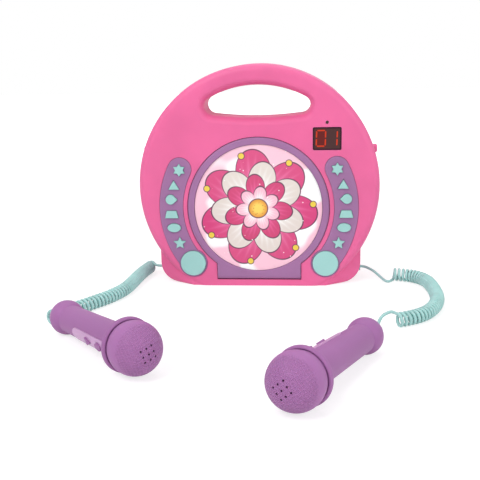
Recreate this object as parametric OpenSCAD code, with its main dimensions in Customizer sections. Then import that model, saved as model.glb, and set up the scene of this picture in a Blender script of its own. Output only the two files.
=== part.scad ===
// Portable disc player for singing along: a round two-shell housing with a carrying grip,
// a hinged disc lid, two arcs of keys and two microphones on curly cords.
// X points right, Y points back, Z points up; the origin is the middle of the base on the table.

/* [Housing] */
// Radius of the round housing seen from the front
body_r = 120.7; // [118:0.1:124]
// Height of the middle of the round above the disc's centre
body_lift = 20.8; // [18:0.1:23]
// Depth of the housing from front to back
body_depth = 76; // [72:1:84]
// Thickness of the moulded walls
wall = 2.2; // [1.8:0.1:2.6]
// Rounding of the front rim
front_edge_r = 7; // [5:0.5:9]
// Rounding of the rear rim
rear_edge_r = 11; // [8:0.5:14]
// Width of the base block
base_w = 206; // [200:1:214]
// Height of the base block
base_h = 38; // [34:1:42]
// Radius of the base block's lower corners
base_corner_r = 21; // [16:1:24]
// How far the base block's front lies behind the face
base_setback = 13; // [8:1:16]
// Clearance between parts that are fitted together
fit = 0.3; // [0.2:0.05:0.4]

/* [Grip] */
// Height of the bar of the grip
grip_bar = 20; // [17:0.5:23]
// Depth of the bar of the grip, from the face back
grip_depth = 50; // [46:1:56]
// Radius of the ends of the hand hole
grip_end_r = 9; // [8:0.5:10]
// Angle of the hand hole's end circles from the vertical, about the middle of the round
grip_end_turn = 28.2; // [26:0.1:30]
// How far the hand hole's floor sags below its ends
grip_sag = 2.8; // [2:0.1:4]
// Width of the rounding about the hand hole
grip_round_w = 7; // [5:0.5:8]
// Depth of the rounding about the hand hole
grip_round_d = 11; // [8:0.5:13]

/* [Lid] */
// Height of the lid ring's lowest point above the table
lid_rise = 9.5; // [8.5:0.1:11]
// Outer radius of the lid
lid_r = 71; // [70:0.1:72]
// Width of the lid's ring round the picture disc
lid_ring_w = 7; // [6:0.5:8]
// Thickness of the picture disc
picture_t = 1.2; // [0.8:0.1:1.6]
// Thickness of the lid's ring
lid_t = 4.8; // [4.4:0.1:5.2]
// How far the lid stands in front of the face
lid_proud = 1.6; // [1:0.1:2]
// Thickness of the lid behind the picture
lid_back_t = 2; // [1.6:0.1:2.4]
// Width of the lid's lower tab
tab_w = 84.5; // [80:0.5:88]
// Height of the tab's lower edge above the table
tab_z = 7; // [6.5:0.1:8]
// Gap round the lid
lid_gap = 0.6; // [0.4:0.1:0.8]
// Radius of the hinge pins
hinge_pin_r = 1.4; // [1.2:0.05:1.5]
// Length of each hinge pin
hinge_pin_l = 3.2; // [2.6:0.1:4]
// Radial clearance of turning and sliding fits
running = 0.05; // [0.03:0.01:0.08]

/* [Key panels] */
// Distance of the key panels from the lid
panel_gap = 5; // [4.5:0.1:6]
// Width of the key panels
panel_w = 23.7; // [23:0.1:25]
// Thickness of the key panels
panel_t = 2.2; // [1.8:0.1:2.6]
// How far the key panels stand in front of the face
panel_proud = 0.4; // [0.2:0.1:0.8]
// Angle of the top key above the disc's centre
panel_top_a = 27; // [24:0.5:29]
// Angle of the round button below the disc's centre
panel_end_a = 40.1; // [39:0.1:42]
// Radius of the panel's round end
panel_end_r = 14.4; // [14:0.1:15]
// Width of the ledge that carries the panel
panel_ledge = 3.4; // [2.8:0.1:3.8]
// How far the keys stand in front of the panels
key_proud = 1.5; // [1:0.1:2]
// Travel of the keys
key_travel = 1.2; // [0.8:0.1:1.5]
// Radius of the round buttons
button_r = 12.8; // [12:0.1:13]

/* [Display] */
// Width of the display window
display_w = 28.1; // [26:0.1:30]
// Height of the display window
display_h = 22.5; // [20:0.1:24]
// Distance of the display's middle from the lid
display_out = 26.2; // [25:0.1:28]
// Angle of the display above the disc's centre
display_turn = 45.2; // [44:0.1:47]
// Radius of the status lamp
lamp_r = 1.5; // [1.2:0.1:1.8]
// Height of the status lamp above the display's middle
lamp_rise = 15.9; // [15:0.1:17]

/* [Disc drive] */
// Radius of the hub that centres the disc
hub_r = 7.4; // [7.35:0.01:7.45]
// Radius of the turntable
turntable_r = 15.5; // [14:0.5:16]
// Radius of the bay that takes the disc
bay_r = 62.2; // [61.5:0.1:62.5]
// Thickness of the disc bay's walls
bay_wall = 1.8; // [1.4:0.1:2.2]
// Travel of the pickup across the disc
pickup_travel = 34; // [30:1:34]
// Distance of the pickup from the spindle at rest
pickup_start = 24; // [24:0.5:26]
// Radius of the pickup's guide rods
rod_r = 1.5; // [1.2:0.1:1.6]
// Distance of the guide rods from the pickup's middle
rod_z = 15; // [14.5:0.5:16]
// Module of the drive's gears
gear_module = 0.7; // [0.65:0.01:0.75]
// Teeth of the pinion that drives the rack
rack_pinion_teeth = 12; // [12:2:14]
// Teeth of the large wheel
wheel_teeth = 36; // [34:2:38]
// Teeth of the motor's pinion
motor_pinion_teeth = 10; // [10:1:12]

/* [Power and sound] */
// Radius of a battery cell
cell_r = 13.1; // [13:0.1:13.2]
// Length of a battery cell
cell_l = 50; // [49:0.5:50]
// Outer radius of a loudspeaker
speaker_r = 28.5; // [27:0.5:29]
// Radius of the power socket's bore
socket_r = 2.75; // [2.5:0.05:3]
// Height of the power socket above the table
socket_z = 44; // [42:1:50]
// How far the power socket lies in from the housing's side
socket_in = 24; // [20:1:28]

/* [Microphones] */
// Radius of the microphone's collar
collar_r = 21.5; // [20:0.5:23]
// Width of the collar
collar_w = 5.2; // [4:0.2:6]
// Radius of the ball at the microphone's tail
tail_r = 14.8; // [14:0.2:16]
// Distance from the collar to the tail ball
mic_l = 109; // [100:1:116]
// Radius of the handle at the collar
handle_head_r = 13.2; // [12.5:0.1:14]
// Radius of the handle at the tail ball
handle_tail_r = 11.8; // [11.2:0.1:12.4]
// Radius of the microphone's head
head_r = 20.8; // [20:0.1:22]
// Thickness of the head's wall
head_wall = 2; // [1.6:0.1:2.4]
// Length of the handle's inlay plate
plate_l = 60; // [54:1:64]
// Width of the handle's inlay plate
plate_w = 12; // [11:0.5:13]
// How far the inlay plate stands out of the handle
plate_proud = 0.6; // [0.4:0.1:0.8]
// Travel of the microphone's keys
mic_key_travel = 0.8; // [0.6:0.1:1]

/* [Cords] */
// Diameter of the cord
cord_d = 2.8; // [2.6:0.1:3]
// Outer diameter of the curly part
coil_d = 13.5; // [13:0.1:14]
// Curls of each cord
coil_curls = 43.5; // [40.5:1:44.5]

/* [Hidden] */
$fn = 72;
hull_fn = 32;
big = 400;

// Colours
pink = [0.94, 0.44, 0.65];
purple = [0.67, 0.46, 0.66];
teal = [0.62, 0.83, 0.81];
lilac = [0.78, 0.59, 0.78];
dark = [0.16, 0.13, 0.15];
board_green = [0.13, 0.4, 0.25];
steel = [0.72, 0.73, 0.75];
nylon = [0.93, 0.93, 0.9];
cord_teal = [0.59, 0.8, 0.76];

// Middles of the disc, the round housing and the display
disc_z = lid_r + lid_rise;
body_rise = disc_z + body_lift;
display_x = (lid_r + display_out) * cos(display_turn);
display_z = disc_z + (lid_r + display_out) * sin(display_turn);

// Housing levels, front to back
face_y = -body_depth / 2;
back_y = body_depth / 2;
part_y = 2;
inner_y = face_y + wall;
nose_w = 140;
nose_h = 18;
nose_y = face_y + 1.5;
base_rear_inset = 4;

// Hand hole
grip_back_y = face_y + grip_depth;
grip_top_r = body_r - grip_bar;
grip_end_x = (grip_top_r - grip_end_r) * sin(grip_end_turn);
grip_end_z = (grip_top_r - grip_end_r) * cos(grip_end_turn);
grip_h = grip_end_r + grip_sag;
grip_floor = grip_end_z - grip_h;
grip_low_r = (pow(grip_end_x, 2) + pow(grip_h, 2) - pow(grip_end_r, 2)) / (2 * (grip_h - grip_end_r));
grip_low_z = grip_floor + grip_low_r;
grip_top_a = atan2(grip_end_z, grip_end_x);
grip_low_a = atan2(grip_end_x, grip_low_z - grip_end_z);
grip_wall = grip_round_w + 0.5;
grip_relief_z = body_rise + grip_floor - 12;
grip_relief_run = 14;

// Lid and hinge
picture_r = lid_r - lid_ring_w;
lid_front_y = face_y - lid_proud;
lid_back_y = lid_front_y + lid_t;
barrel_r = (lid_back_y - lid_front_y) / 2 + 1.75;
hinge_y = lid_front_y + barrel_r + running;
hinge_z = tab_z + barrel_r;
hinge_ear_t = hinge_pin_l + 0.6;
picture_y = lid_back_y - lid_back_t - picture_t;
catch_w = 9;
catch_t = 2;
catch_l = 4.5;
catch_z = disc_z + lid_r - 4.5;

// Disc bay
flange_y = lid_back_y + fit;
flange_t = 2;
flange_r = lid_r + 2.8;
disc_y = flange_y + 4.9;
bay_floor_y = disc_y + 4;
hub_tip_y = disc_y - 3;
pocket_y = hinge_y + barrel_r + 0.6;

// Key panels and keys
panel_in_r = lid_r + panel_gap;
panel_out_r = panel_in_r + panel_w;
panel_mid_r = (panel_in_r + panel_out_r) / 2;
panel_half = panel_w / 2;
panel_front_y = face_y - panel_proud;
panel_back_y = panel_front_y + panel_t;
ledge_back_y = panel_back_y + 1.6;
key_front_y = panel_front_y - key_proud;
key_flange_t = 1.2;
key_lip = 0.8;
button_lip = 1.2;
key_stem_r = 2.4;
key_stem_y = ledge_back_y + 4;
switch_y = key_stem_y + key_travel + fit;
key_board_y = switch_y + 4.1;
key_board_t = 1.6;
key_angles = [26.5, 15.8, 5.8, -3.8, -12.9, -23.9, -panel_end_a];
post_angles = [11, -8, -19];

// Display board
display_post_out = 3.1;
display_post_r = 1.8;

// Case screws
side_boss_in = 7;
top_boss_r = body_r - 15.7;
top_boss_a = 51;
base_boss_in = 17;
base_boss_z = 17;
boss_places = [[body_r - side_boss_in, body_rise],
    [top_boss_r * cos(top_boss_a), body_rise + top_boss_r * sin(top_boss_a)],
    [base_w / 2 - base_boss_in, base_boss_z]];
boss_top_z = body_rise + body_r - wall - 5;
boss_r = 3.3;
screw_r = 1.2;
screw_head_r = 3;
screw_head_y = part_y + 5;
screw_depth = 13;

// Disc drive levels
plate_y = bay_floor_y + bay_wall + 3.6;
plate_t = 1.6;
rod_y = plate_y + plate_t + 5;
sled_front_y = rod_y - 3.6;
sled_back_y = rod_y + 3.6;
wheel_y = sled_back_y + 0.6;
wheel_t = 1.8;
sled_half = 9;
head_half = 3.9;
head_gap = 0.6;
sled_low_x = pickup_start - sled_half - 6;
ear_t = 3;
ear_gap = 1.5;
plate_low = [-28, -52];
plate_size = [104, 84];
plate_notch = [30, 24];
gear_x = pickup_start + 12;
rack_line_z = -rod_z - 7;
rack_pitch = PI * gear_module;
rack_teeth = ceil(pickup_travel / rack_pitch) + 2;
rack_pinion_r = gear_module * rack_pinion_teeth / 2;
wheel_r = gear_module * wheel_teeth / 2;
motor_pinion_r = gear_module * motor_pinion_teeth / 2;
gear_z = rack_line_z - rack_pinion_r;
gear_angle = 225;
pinion_x = gear_x + (wheel_r + motor_pinion_r) * cos(gear_angle);
pinion_z = gear_z + (wheel_r + motor_pinion_r) * sin(gear_angle);
backlash = 0.12;
axle_r = 1.2;
motor_shaft_r = 0.75;
damper_places = [[-20, 22], [-20, -22], [52, 26], [52, -26]];
spindle_r = 1;

// Board, loudspeakers and battery bay
board_y = part_y + 3;
board_w = 76;
board_z0 = 70;
board_z1 = 140;
board_t = 1.6;
speaker_x = 68;
speaker_z = body_rise + 6.7;
speaker_y = back_y - wall;
bay_x = cell_l + 6;
cell_y = back_y - 16.5;
cell_z0 = 22.8;
cell_pitch = 2 * cell_r + 1;
bay_y0 = cell_y - cell_r - 0.6;
bay_z0 = cell_z0 - cell_r - 0.8;
bay_z1 = cell_z0 + cell_pitch + cell_r + 0.8;
bay_t = 1.6;
door_t = 2;
door_lap = 3.6;
door_y = back_y - door_t;
door_tab_w = 18;
door_tab_h = 9;
door_screw_z = bay_z1 + door_lap + door_tab_h - 5;

// Side outlets of the cords and the strap studs
outlet_y = -5;
outlet_z = 12;
bushing_r = 3.2;
bushing_flange_r = 4.4;
bushing_flange_t = 1;
stud_z = body_rise + 34.7;
stud_r = 4.4;
stud_out = 3.9;
stud_root = 11.6;
outlet_x = max(base_w / 2, side_x(outlet_z + bushing_flange_r));

// Microphones: place of the collar on the table and turn of the handle
mic_tilt = asin((collar_r - tail_r) / mic_l);
left_mic_at = [-84, -269];
left_mic_turn = -49;
left_mic_roll = 108;
right_mic_at = [48, -324];
right_mic_turn = -115.5;
right_mic_roll = 40;
groove_w = 0.9;
head_x = 11.5;
plate_x = -12 - plate_l;
mic_cap_x = [-42, -24];

// Cord routes on the table, chosen by hand
cord_r = cord_d / 2;
coil_r = coil_d / 2 - cord_r;
cord_tip_gap = 0.3;
left_coil_start = 90;
right_coil_start = -90;
left_coil_route = [[-122, 10], [-125, -6], [-127, -23], [-128, -41], [-129, -59], [-131, -77],
    [-137, -95], [-146, -112], [-157, -129], [-168, -146], [-178, -163]];
right_coil_route = [[137, -17], [155, -21], [167, -35], [170, -53], [171, -71],
    [171, -89], [169, -107], [164, -124], [156, -141], [144, -154], [127, -163]];
left_lead_route = [[-110, -4, 12], [-114, -1, 12]];
right_lead_route = [[111, -6, 11], [118, -10, 8], [124, -16, 4], [128, -23, 2], [132, -25, 1.4]];
left_tail_route = [[-170, -170, 7], [-168, -173, 11]];
right_tail_route = [[121, -157, 12], [114, -160, 9], [110, -168, 5], [107, -180, 3], [105, -192, 5],
    [103, -204, 10]];

// ---- Shared shapes ----

// A sheet standing across the depth, from y0 back to y1, drawn in X and Z
module slab(y0, y1) {
    translate([0, y1, 0]) rotate([90, 0, 0]) linear_extrude(y1 - y0) children();
}

// A body turned about a line that runs front to back, drawn as radius and depth
module turned(x, z) {
    translate([x, 0, z]) rotate([-90, 0, 0]) rotate_extrude() children();
}

// A round rod that runs front to back
module rod(x, z, r, y0, y1) {
    translate([x, y0, z]) rotate([-90, 0, 0]) cylinder(r = r, h = y1 - y0);
}

// A round rod that runs left to right
module cross_rod(y, z, r, x0, x1) {
    translate([x0, y, z]) rotate([0, 90, 0]) cylinder(r = r, h = x1 - x0);
}

// A block between two corners
module block(low, high) {
    translate(low) cube(high - low);
}

// A rectangle with round corners about a centre
module round_rect(w, h, r) {
    hull() for (x = [-1, 1], z = [-1, 1]) translate([x * (w / 2 - r), z * (h / 2 - r)]) circle(r);
}

function arc(c, r, a0, a1, n) = [for (i = [0 : n]) let (a = a0 + (a1 - a0) * i / n) c + r * [cos(a), sin(a)]];
function unit(v) = v / norm(v);
function side_x(z) = sqrt(pow(body_r, 2) - pow(z - body_rise, 2));
function at_disc(r, a) = [r * cos(a), disc_z + r * sin(a)];

// A solid through rings of equally many points
module loft(rings) {
    n = len(rings[0]);
    m = len(rings);
    points = [for (ring = rings) each ring];
    sides = [for (i = [0 : m - 2], j = [0 : n - 1]) each [
        [i * n + j, (i + 1) * n + j, (i + 1) * n + (j + 1) % n],
        [i * n + j, (i + 1) * n + (j + 1) % n, i * n + (j + 1) % n]]];
    caps = [[for (j = [0 : n - 1]) j], [for (j = [n - 1 : -1 : 0]) (m - 1) * n + j]];
    polyhedron(points, concat(caps, sides));
}

// ---- Housing ----

// Outline of the hand hole, grown by g, as points in X and Z
function grip_points(g) = [for (p = concat(
    arc([0, 0], grip_top_r + g, grip_top_a, 180 - grip_top_a, 18),
    arc([-grip_end_x, grip_end_z], grip_end_r + g, 180 - grip_top_a + 12, 270 - grip_low_a - 12, 8),
    arc([0, grip_low_z], grip_low_r + g, 270 - grip_low_a, 270 + grip_low_a, 10),
    arc([grip_end_x, grip_end_z], grip_end_r + g, 270 + grip_low_a + 12, 360 + grip_top_a - 12, 8)))
    p + [0, body_rise]];

// The hand hole with its rounded mouths
module grip_hole() {
    steps = 5;
    mouth = [for (i = [0 : steps]) let (a = 90 * i / steps)
        [grip_round_d * (1 - cos(a)), grip_round_w * (1 - sin(a))]];
    levels = concat([[back_y, grip_round_w]], [for (m = mouth) [grip_back_y - m[0], m[1]]],
        [for (i = [steps : -1 : 0]) [face_y + mouth[i][0], mouth[i][1]]], [[face_y - 1, grip_round_w]]);
    loft([for (l = levels) [for (p = grip_points(l[1])) [p[0], l[0], p[1]]]]);
}

// Radius-and-depth profile of the drum with rounded rims
module drum_profile(r, y0, y1, e0, e1) {
    intersection() {
        union() {
            translate([0, y0]) square([r - e0, (y1 - y0) / 2]);
            translate([0, y0 + e0]) square([r, y1 - y0 - e0 - e1]);
            translate([0, (y0 + y1) / 2]) square([r - e1, (y1 - y0) / 2]);
            translate([r - e0, y0 + e0]) circle(e0);
            translate([r - e1, y1 - e1]) circle(e1);
        }
        translate([0, y0]) square([r, y1 - y0]);
    }
}

// The base block with its sloping cheeks, drawn in by inset
module base_form(inset) {
    low = base_corner_r - inset;
    hull() {
        slab(face_y + base_setback + inset, back_y - base_rear_inset - inset)
            base_outline(base_w / 2 - inset, inset, base_h - inset, low);
        slab(nose_y + inset, nose_y + inset + 0.2)
            base_outline(nose_w / 2 - inset, inset, nose_h - inset, 3);
        slab(back_y - inset - 0.2, back_y - inset)
            base_outline(base_w / 2 - base_rear_inset - inset, base_rear_inset + inset,
                base_h - base_rear_inset - inset, low - base_rear_inset);
    }
}

module base_outline(half_w, z0, z1, r) {
    for (s = [-1, 1]) {
        translate([s * (half_w - r), z0 + r]) circle(r, $fn = hull_fn);
        translate([s * (half_w - 2), z1 - 2]) circle(2, $fn = hull_fn);
    }
}

// What is cut from the rear so that the grip is slimmer than the housing
module grip_relief(inset) {
    translate([-big / 2, -inset, -inset]) rotate([90, 0, 90]) linear_extrude(big)
        polygon([[grip_back_y, grip_relief_z + grip_relief_run], [back_y + 5, grip_relief_z - 3],
            [back_y + 5, big], [grip_back_y, big]]);
}

// The whole housing's outer form, or its hollow when drawn in by the wall
module body_form(inset) {
    difference() {
        union() {
            intersection() {
                turned(0, body_rise) drum_profile(body_r - inset, face_y + inset, back_y - inset,
                    front_edge_r - inset, rear_edge_r - inset);
                block([-big / 2, -big / 2, inset], [big / 2, big / 2, big]);
            }
            base_form(inset);
        }
        grip_relief(inset);
    }
}

module front_half() {
    intersection() {
        children();
        block([-big / 2, -big / 2, -1], [big / 2, part_y, big]);
    }
}

module rear_half() {
    intersection() {
        children();
        block([-big / 2, part_y, -1], [big / 2, big / 2, big]);
    }
}

// Hollow of the housing, kept away from the hand hole
module body_hollow() {
    difference() {
        body_form(wall);
        slab(face_y - 1, back_y) polygon(grip_points(grip_wall));
    }
}

// Every case screw's place
module each_boss() {
    for (p = boss_places, s = [-1, 1]) translate([s * p[0], 0, p[1]]) children();
    translate([0, 0, boss_top_z]) children();
}

// Outline of the lid, grown by g
module lid_outline(g) {
    translate([0, disc_z]) circle(lid_r + g, $fn = 120);
    translate([-tab_w / 2 - g, tab_z - g]) square([tab_w + 2 * g, disc_z - lid_r * 0.6 - tab_z + g]);
}

// Outline of one key panel, grown by g
module panel_outline(side, g) {
    top = panel_top_a;
    low = -panel_end_a;
    band = concat(
        arc([0, disc_z], panel_out_r + g, low, top, 26),
        arc(at_disc(panel_mid_r, top), panel_half + g, top + 15, top + 165, 10),
        arc([0, disc_z], panel_in_r - g, top, low, 22));
    mirror([side < 0 ? 1 : 0, 0]) {
        polygon(band);
        translate(at_disc(panel_mid_r, low)) circle(panel_end_r + g);
    }
}

// Opening behind a key panel
module panel_window(side) {
    intersection() {
        panel_outline(side, -panel_ledge);
        square([big, big], center = true);
    }
    mirror([side < 0 ? 1 : 0, 0]) translate(at_disc(panel_mid_r, -panel_end_a)) circle(button_r + fit);
}

module front_shell() {
    color(pink) difference() {
        union() {
            front_half() difference() {
                body_form(0);
                body_hollow();
            }
            front_fittings();
            strap_studs();
        }
        grip_hole();
        slab(face_y - 1, inner_y + 6) lid_outline(lid_gap);
        for (side = [-1, 1]) {
            slab(face_y - 1, panel_back_y) panel_outline(side, fit);
            slab(face_y - 1, ledge_back_y + 1) panel_window(side);
            cross_rod(outlet_y, outlet_z, bushing_r + 0.1, side > 0 ? outlet_x - 6 : -outlet_x - 1,
                side > 0 ? outlet_x + 1 : -outlet_x + 6);
        }
        rod(0, disc_z, flange_r + fit, inner_y, flange_y + flange_t + fit);
        slab(face_y - 1, inner_y + 1) translate([display_x, display_z]) round_rect(display_w, display_h, 1.5);
        rod(display_x, display_z + lamp_rise, lamp_r + 0.1, face_y - 1, inner_y + 1);
        each_boss() rod(0, 0, screw_r + running, part_y - screw_depth, part_y + 1);
        cross_rod(hinge_y, hinge_z, hinge_pin_r + running, -tab_w / 2 - lid_gap - hinge_ear_t - 1,
            tab_w / 2 + lid_gap + hinge_ear_t + 1);
    }
}

// Bosses, ledges and posts moulded inside the front shell
module front_fittings() {
    front_half() intersection() {
        body_form(0.5);
        union() {
            each_boss() rod(0, 0, boss_r, inner_y - 1, part_y);
            for (side = [-1, 1]) {
                slab(inner_y - 0.5, ledge_back_y) difference() {
                    panel_outline(side, 2);
                    panel_window(side);
                }
                for (a = post_angles) key_board_post(side, a);
                translate([side * (tab_w / 2 + lid_gap + hinge_ear_t / 2), 0, hinge_z])
                    block([-hinge_ear_t / 2, face_y + 1, -4], [hinge_ear_t / 2, hinge_y + 3.5, 4]);
            }
            for (s = [-1, 1]) translate([display_x + s * (display_w / 2 + display_post_out), 0, display_z])
                rod(0, 0, display_post_r, inner_y - 0.5, display_board_y());
        }
    }
}

function display_board_y() = inner_y + 1.4 + 6;

module key_board_post(side, a) {
    p = at_disc(panel_out_r - panel_ledge / 2, a);
    rod(side * p[0], p[1], 1.6, panel_back_y + 0.5, key_board_y);
}

// Rounded studs at both sides for a carrying strap
module strap_studs() {
    round = 2;
    root = side_x(stud_z) - stud_root;
    reach = side_x(stud_z) + stud_out;
    for (side = [-1, 1]) translate([0, outlet_y, stud_z]) rotate([0, side * 90, 0]) rotate_extrude()
        intersection() {
            union() {
                translate([0, root]) square([stud_r, reach - root - round]);
                translate([0, root]) square([stud_r - round, reach - root]);
                translate([stud_r - round, reach - round]) circle(round);
            }
            square([stud_r, reach]);
        }
}

module rear_shell() {
    color(pink) difference() {
        union() {
            rear_half() difference() {
                body_form(0);
                body_hollow();
            }
            rear_half() intersection() {
                body_form(0.5);
                union() {
                    each_boss() rod(0, 0, screw_head_r + 1.6, part_y, back_y);
                    rear_fittings();
                }
            }
        }
        grip_hole();
        each_boss() {
            rod(0, 0, screw_r + 0.3, part_y - 1, back_y);
            rod(0, 0, screw_head_r + 0.4, screw_head_y, back_y + 5);
        }
        for (side = [-1, 1]) speaker_slots(side);
        block([-bay_x, bay_y0, bay_z0], [bay_x, back_y + 1, bay_z1]);
        slab(door_y, back_y + 1) door_outline(fit);
        rod(0, door_screw_z, screw_r + running, door_y - 9, back_y);
        rod(socket_in - side_x(socket_z), socket_z, socket_r + 2.3, back_y - wall - 1, back_y + 1);
    }
}

// Battery bay, board posts and screw boss moulded inside the rear shell
module rear_fittings() {
    block([-bay_x - bay_t, bay_y0 - bay_t, 0.5], [bay_x + bay_t, door_y + 1, bay_z1 + bay_t]);
    slab(door_y - bay_t, door_y + 1) door_outline(2);
    rod(0, door_screw_z, 3.6, door_y - 9, door_y + 1);
    for (x = [-1, 1], z = [board_z0 + 4, board_z1 - 4])
        rod(x * (board_w / 2 - 4), z, 2.6, board_y + board_t, back_y - wall + 0.5);
}

// Outline of the battery door with its screw tab
module door_outline(g) {
    translate([-bay_x - door_lap - g, bay_z0 - door_lap + 1 - g])
        square([2 * (bay_x + door_lap + g), bay_z1 - bay_z0 + 2 * door_lap - 1 + 2 * g]);
    translate([-door_tab_w / 2 - g, bay_z1]) square([door_tab_w + 2 * g, door_lap + door_tab_h + g]);
}

// Sound slots in front of one loudspeaker
module speaker_slots(side) {
    slot = 2.2;
    pitch = 5.2;
    reach = speaker_r - 4;
    for (i = [-4 : 4]) {
        half = sqrt(pow(reach, 2) - pow(i * pitch, 2));
        block([side * speaker_x - half, back_y - wall - 1, speaker_z + i * pitch - slot / 2],
            [side * speaker_x + half, back_y + 1, speaker_z + i * pitch + slot / 2]);
    }
}

module battery_door() {
    color(pink) difference() {
        union() {
            slab(door_y, back_y) door_outline(0);
            for (x = [-1, 1]) block([x * cell_l / 2 - 8, door_y - 0.8, bay_z0 + 6],
                [x * cell_l / 2 + 8, door_y + 0.5, bay_z1 - 6]);
        }
        rod(0, door_screw_z, screw_r + 0.2, door_y - 1, back_y + 1);
        rod(0, door_screw_z, screw_head_r + 0.2, back_y - 1, back_y + 1);
        for (i = [-3 : 3]) block([-14, back_y - 0.6, bay_z0 + 8 + (i + 3) * 3],
            [14, back_y + 1, bay_z0 + 9.2 + (i + 3) * 3]);
    }
}

// A pan-head screw with a cross slot, its head's seat at y
module screw(y, length) {
    difference() {
        union() {
            rod(0, 0, screw_head_r, y, y + 2);
            rod(0, 0, screw_r, y - length, y + 0.5);
        }
        for (a = [0, 90]) rotate([0, a, 0]) block([-1.8, y + 1, -0.35], [1.8, y + 3, 0.35]);
    }
}

module door_screw() {
    color(steel) translate([0, 0, door_screw_z]) screw(back_y - 1, 8);
}

module case_screws() {
    color(steel) each_boss() screw(screw_head_y, screw_head_y - part_y + screw_depth - 1);
}

// ---- Lid ----

module lid_frame() {
    bevel = 1.2;
    pin_end = tab_w / 2 + lid_gap + hinge_pin_l;
    color(purple) difference() {
        union() {
            turned(0, disc_z) polygon([[0, lid_back_y - lid_back_t], [picture_r + fit, lid_back_y - lid_back_t],
                [picture_r + fit, lid_front_y + 0.5], [picture_r + fit + 0.5, lid_front_y],
                [lid_r - bevel, lid_front_y], [lid_r, lid_front_y + bevel], [lid_r, lid_back_y],
                [0, lid_back_y]]);
            difference() {
                union() {
                    block([-tab_w / 2, lid_front_y, hinge_z], [tab_w / 2, lid_back_y, disc_z - lid_r * 0.6]);
                    cross_rod(hinge_y, hinge_z, barrel_r, -tab_w / 2, tab_w / 2);
                }
                rod(0, disc_z, lid_r - 2, lid_front_y - 1, lid_back_y + 10);
            }
            cross_rod(hinge_y, hinge_z, hinge_pin_r, -pin_end, pin_end);
            block([-catch_w / 2, lid_back_y - 0.5, catch_z],
                [catch_w / 2, lid_back_y + catch_l, catch_z + catch_t]);
        }
        rod(0, disc_z, picture_r + fit, lid_front_y - 1, lid_back_y - lid_back_t);
        rod(0, disc_z, bay_r, lid_back_y, lid_back_y + 10);
    }
}

module lid_picture() {
    color("white") rod(0, disc_z, picture_r, picture_y, picture_y + picture_t);
}

// The bay behind the lid: flange, round wall, floor and hinge pocket
module disc_well() {
    slot = 8.5;
    slot_end = pickup_start + pickup_travel + head_half + head_gap;
    color(dark) difference() {
        union() {
            turned(0, disc_z) {
                translate([bay_r, flange_y]) square([flange_r - bay_r, flange_t]);
                translate([lid_r + 1.2, inner_y]) square([flange_r - lid_r - 1.2, flange_y - inner_y + 1]);
                translate([bay_r, flange_y + 1]) square([bay_wall, bay_floor_y - flange_y - 1 + bay_wall]);
                translate([0, bay_floor_y]) square([bay_r + 1, bay_wall]);
            }
            block([-tab_w / 2 - lid_gap - 1.2, pocket_y, wall + fit],
                [tab_w / 2 + lid_gap + 1.2, pocket_y + bay_wall, disc_z - bay_r]);
        }
        block([-tab_w / 2 - lid_gap - hinge_ear_t - 2, face_y, -1],
            [tab_w / 2 + lid_gap + hinge_ear_t + 2, pocket_y, hinge_z + barrel_r + 0.5]);
        rod(0, disc_z, turntable_r + 1.5, bay_floor_y - 1, bay_floor_y + bay_wall + 1);
        block([0, bay_floor_y - 1, disc_z - slot],
            [slot_end, bay_floor_y + bay_wall + 1, disc_z + slot]);
        block([-catch_w / 2 - 0.5, flange_y - 1, catch_z - 0.6],
            [catch_w / 2 + 0.5, flange_y + 6, catch_z + catch_t + 0.6]);
        rod(0, disc_z, bay_r, flange_y - 2, bay_floor_y);
        slab(face_y, flange_y) lid_outline(lid_gap);
    }
}

// ---- Key panels ----

// Outline of one key about its own middle, as it stands on the right side
module key_outline(kind, g) {
    if (kind == 0) star_outline(6, 6.4 + g, 3.8 + g * 0.8, 90);
    if (kind == 1) polygon([[-5.4 - 1.5 * g, -4.2 - g], [5.4 + 1.5 * g, -4.2 - g], [0, 4.8 + 2 * g]]);
    if (kind == 2) polygon(concat(arc([0.8, 0.6], 4.9 + g, -118, 152, 18), [[-6.1 - 1.3 * g, 0.4]]));
    if (kind == 3) polygon([[-6.8 - 1.3 * g, -3.7 - g], [6.8 + 1.3 * g, -3.7 - g], [4.8 + g, 3.7 + g],
        [-4.8 - g, 3.7 + g]]);
    if (kind == 4) polygon([for (a = [0 : 12 : 348]) [(6.8 + g) * cos(a), (4.4 + g) * sin(a)]]);
    if (kind == 5) star_outline(5, 6.5 + 1.2 * g, 3.1 + g * 0.8, 90);
    if (kind == 6) circle(button_r + g, $fn = 96);
}

module star_outline(points, tip_r, valley_r, start) {
    polygon([for (i = [0 : 2 * points - 1]) (i % 2 == 0 ? tip_r : valley_r)
        * [cos(start + i * 180 / points), sin(start + i * 180 / points)]]);
}

// Puts a key's outline or solid at its place in the panel
module key_place(side, kind) {
    p = at_disc(panel_mid_r, key_angles[kind]);
    translate([side * p[0], p[1]]) mirror([side < 0 ? 1 : 0, 0]) children();
}

module key(side, kind) {
    round = kind == 6;
    p = at_disc(panel_mid_r, key_angles[kind]);
    flange_front = (round ? ledge_back_y : panel_back_y) + fit;
    color(teal) {
        slab(key_front_y, flange_front + 0.5) key_place(side, kind) key_outline(kind, 0);
        slab(flange_front, flange_front + key_flange_t) key_place(side, kind)
            key_outline(kind, round ? button_lip : key_lip);
        rod(side * p[0], p[1], key_stem_r, flange_front + 0.5, key_stem_y);
    }
}

module key_panel(side) {
    color(purple) slab(panel_front_y, panel_back_y) difference() {
        panel_outline(side, 0);
        for (kind = [0 : 6]) key_place(side, kind) key_outline(kind, fit);
    }
}

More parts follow.
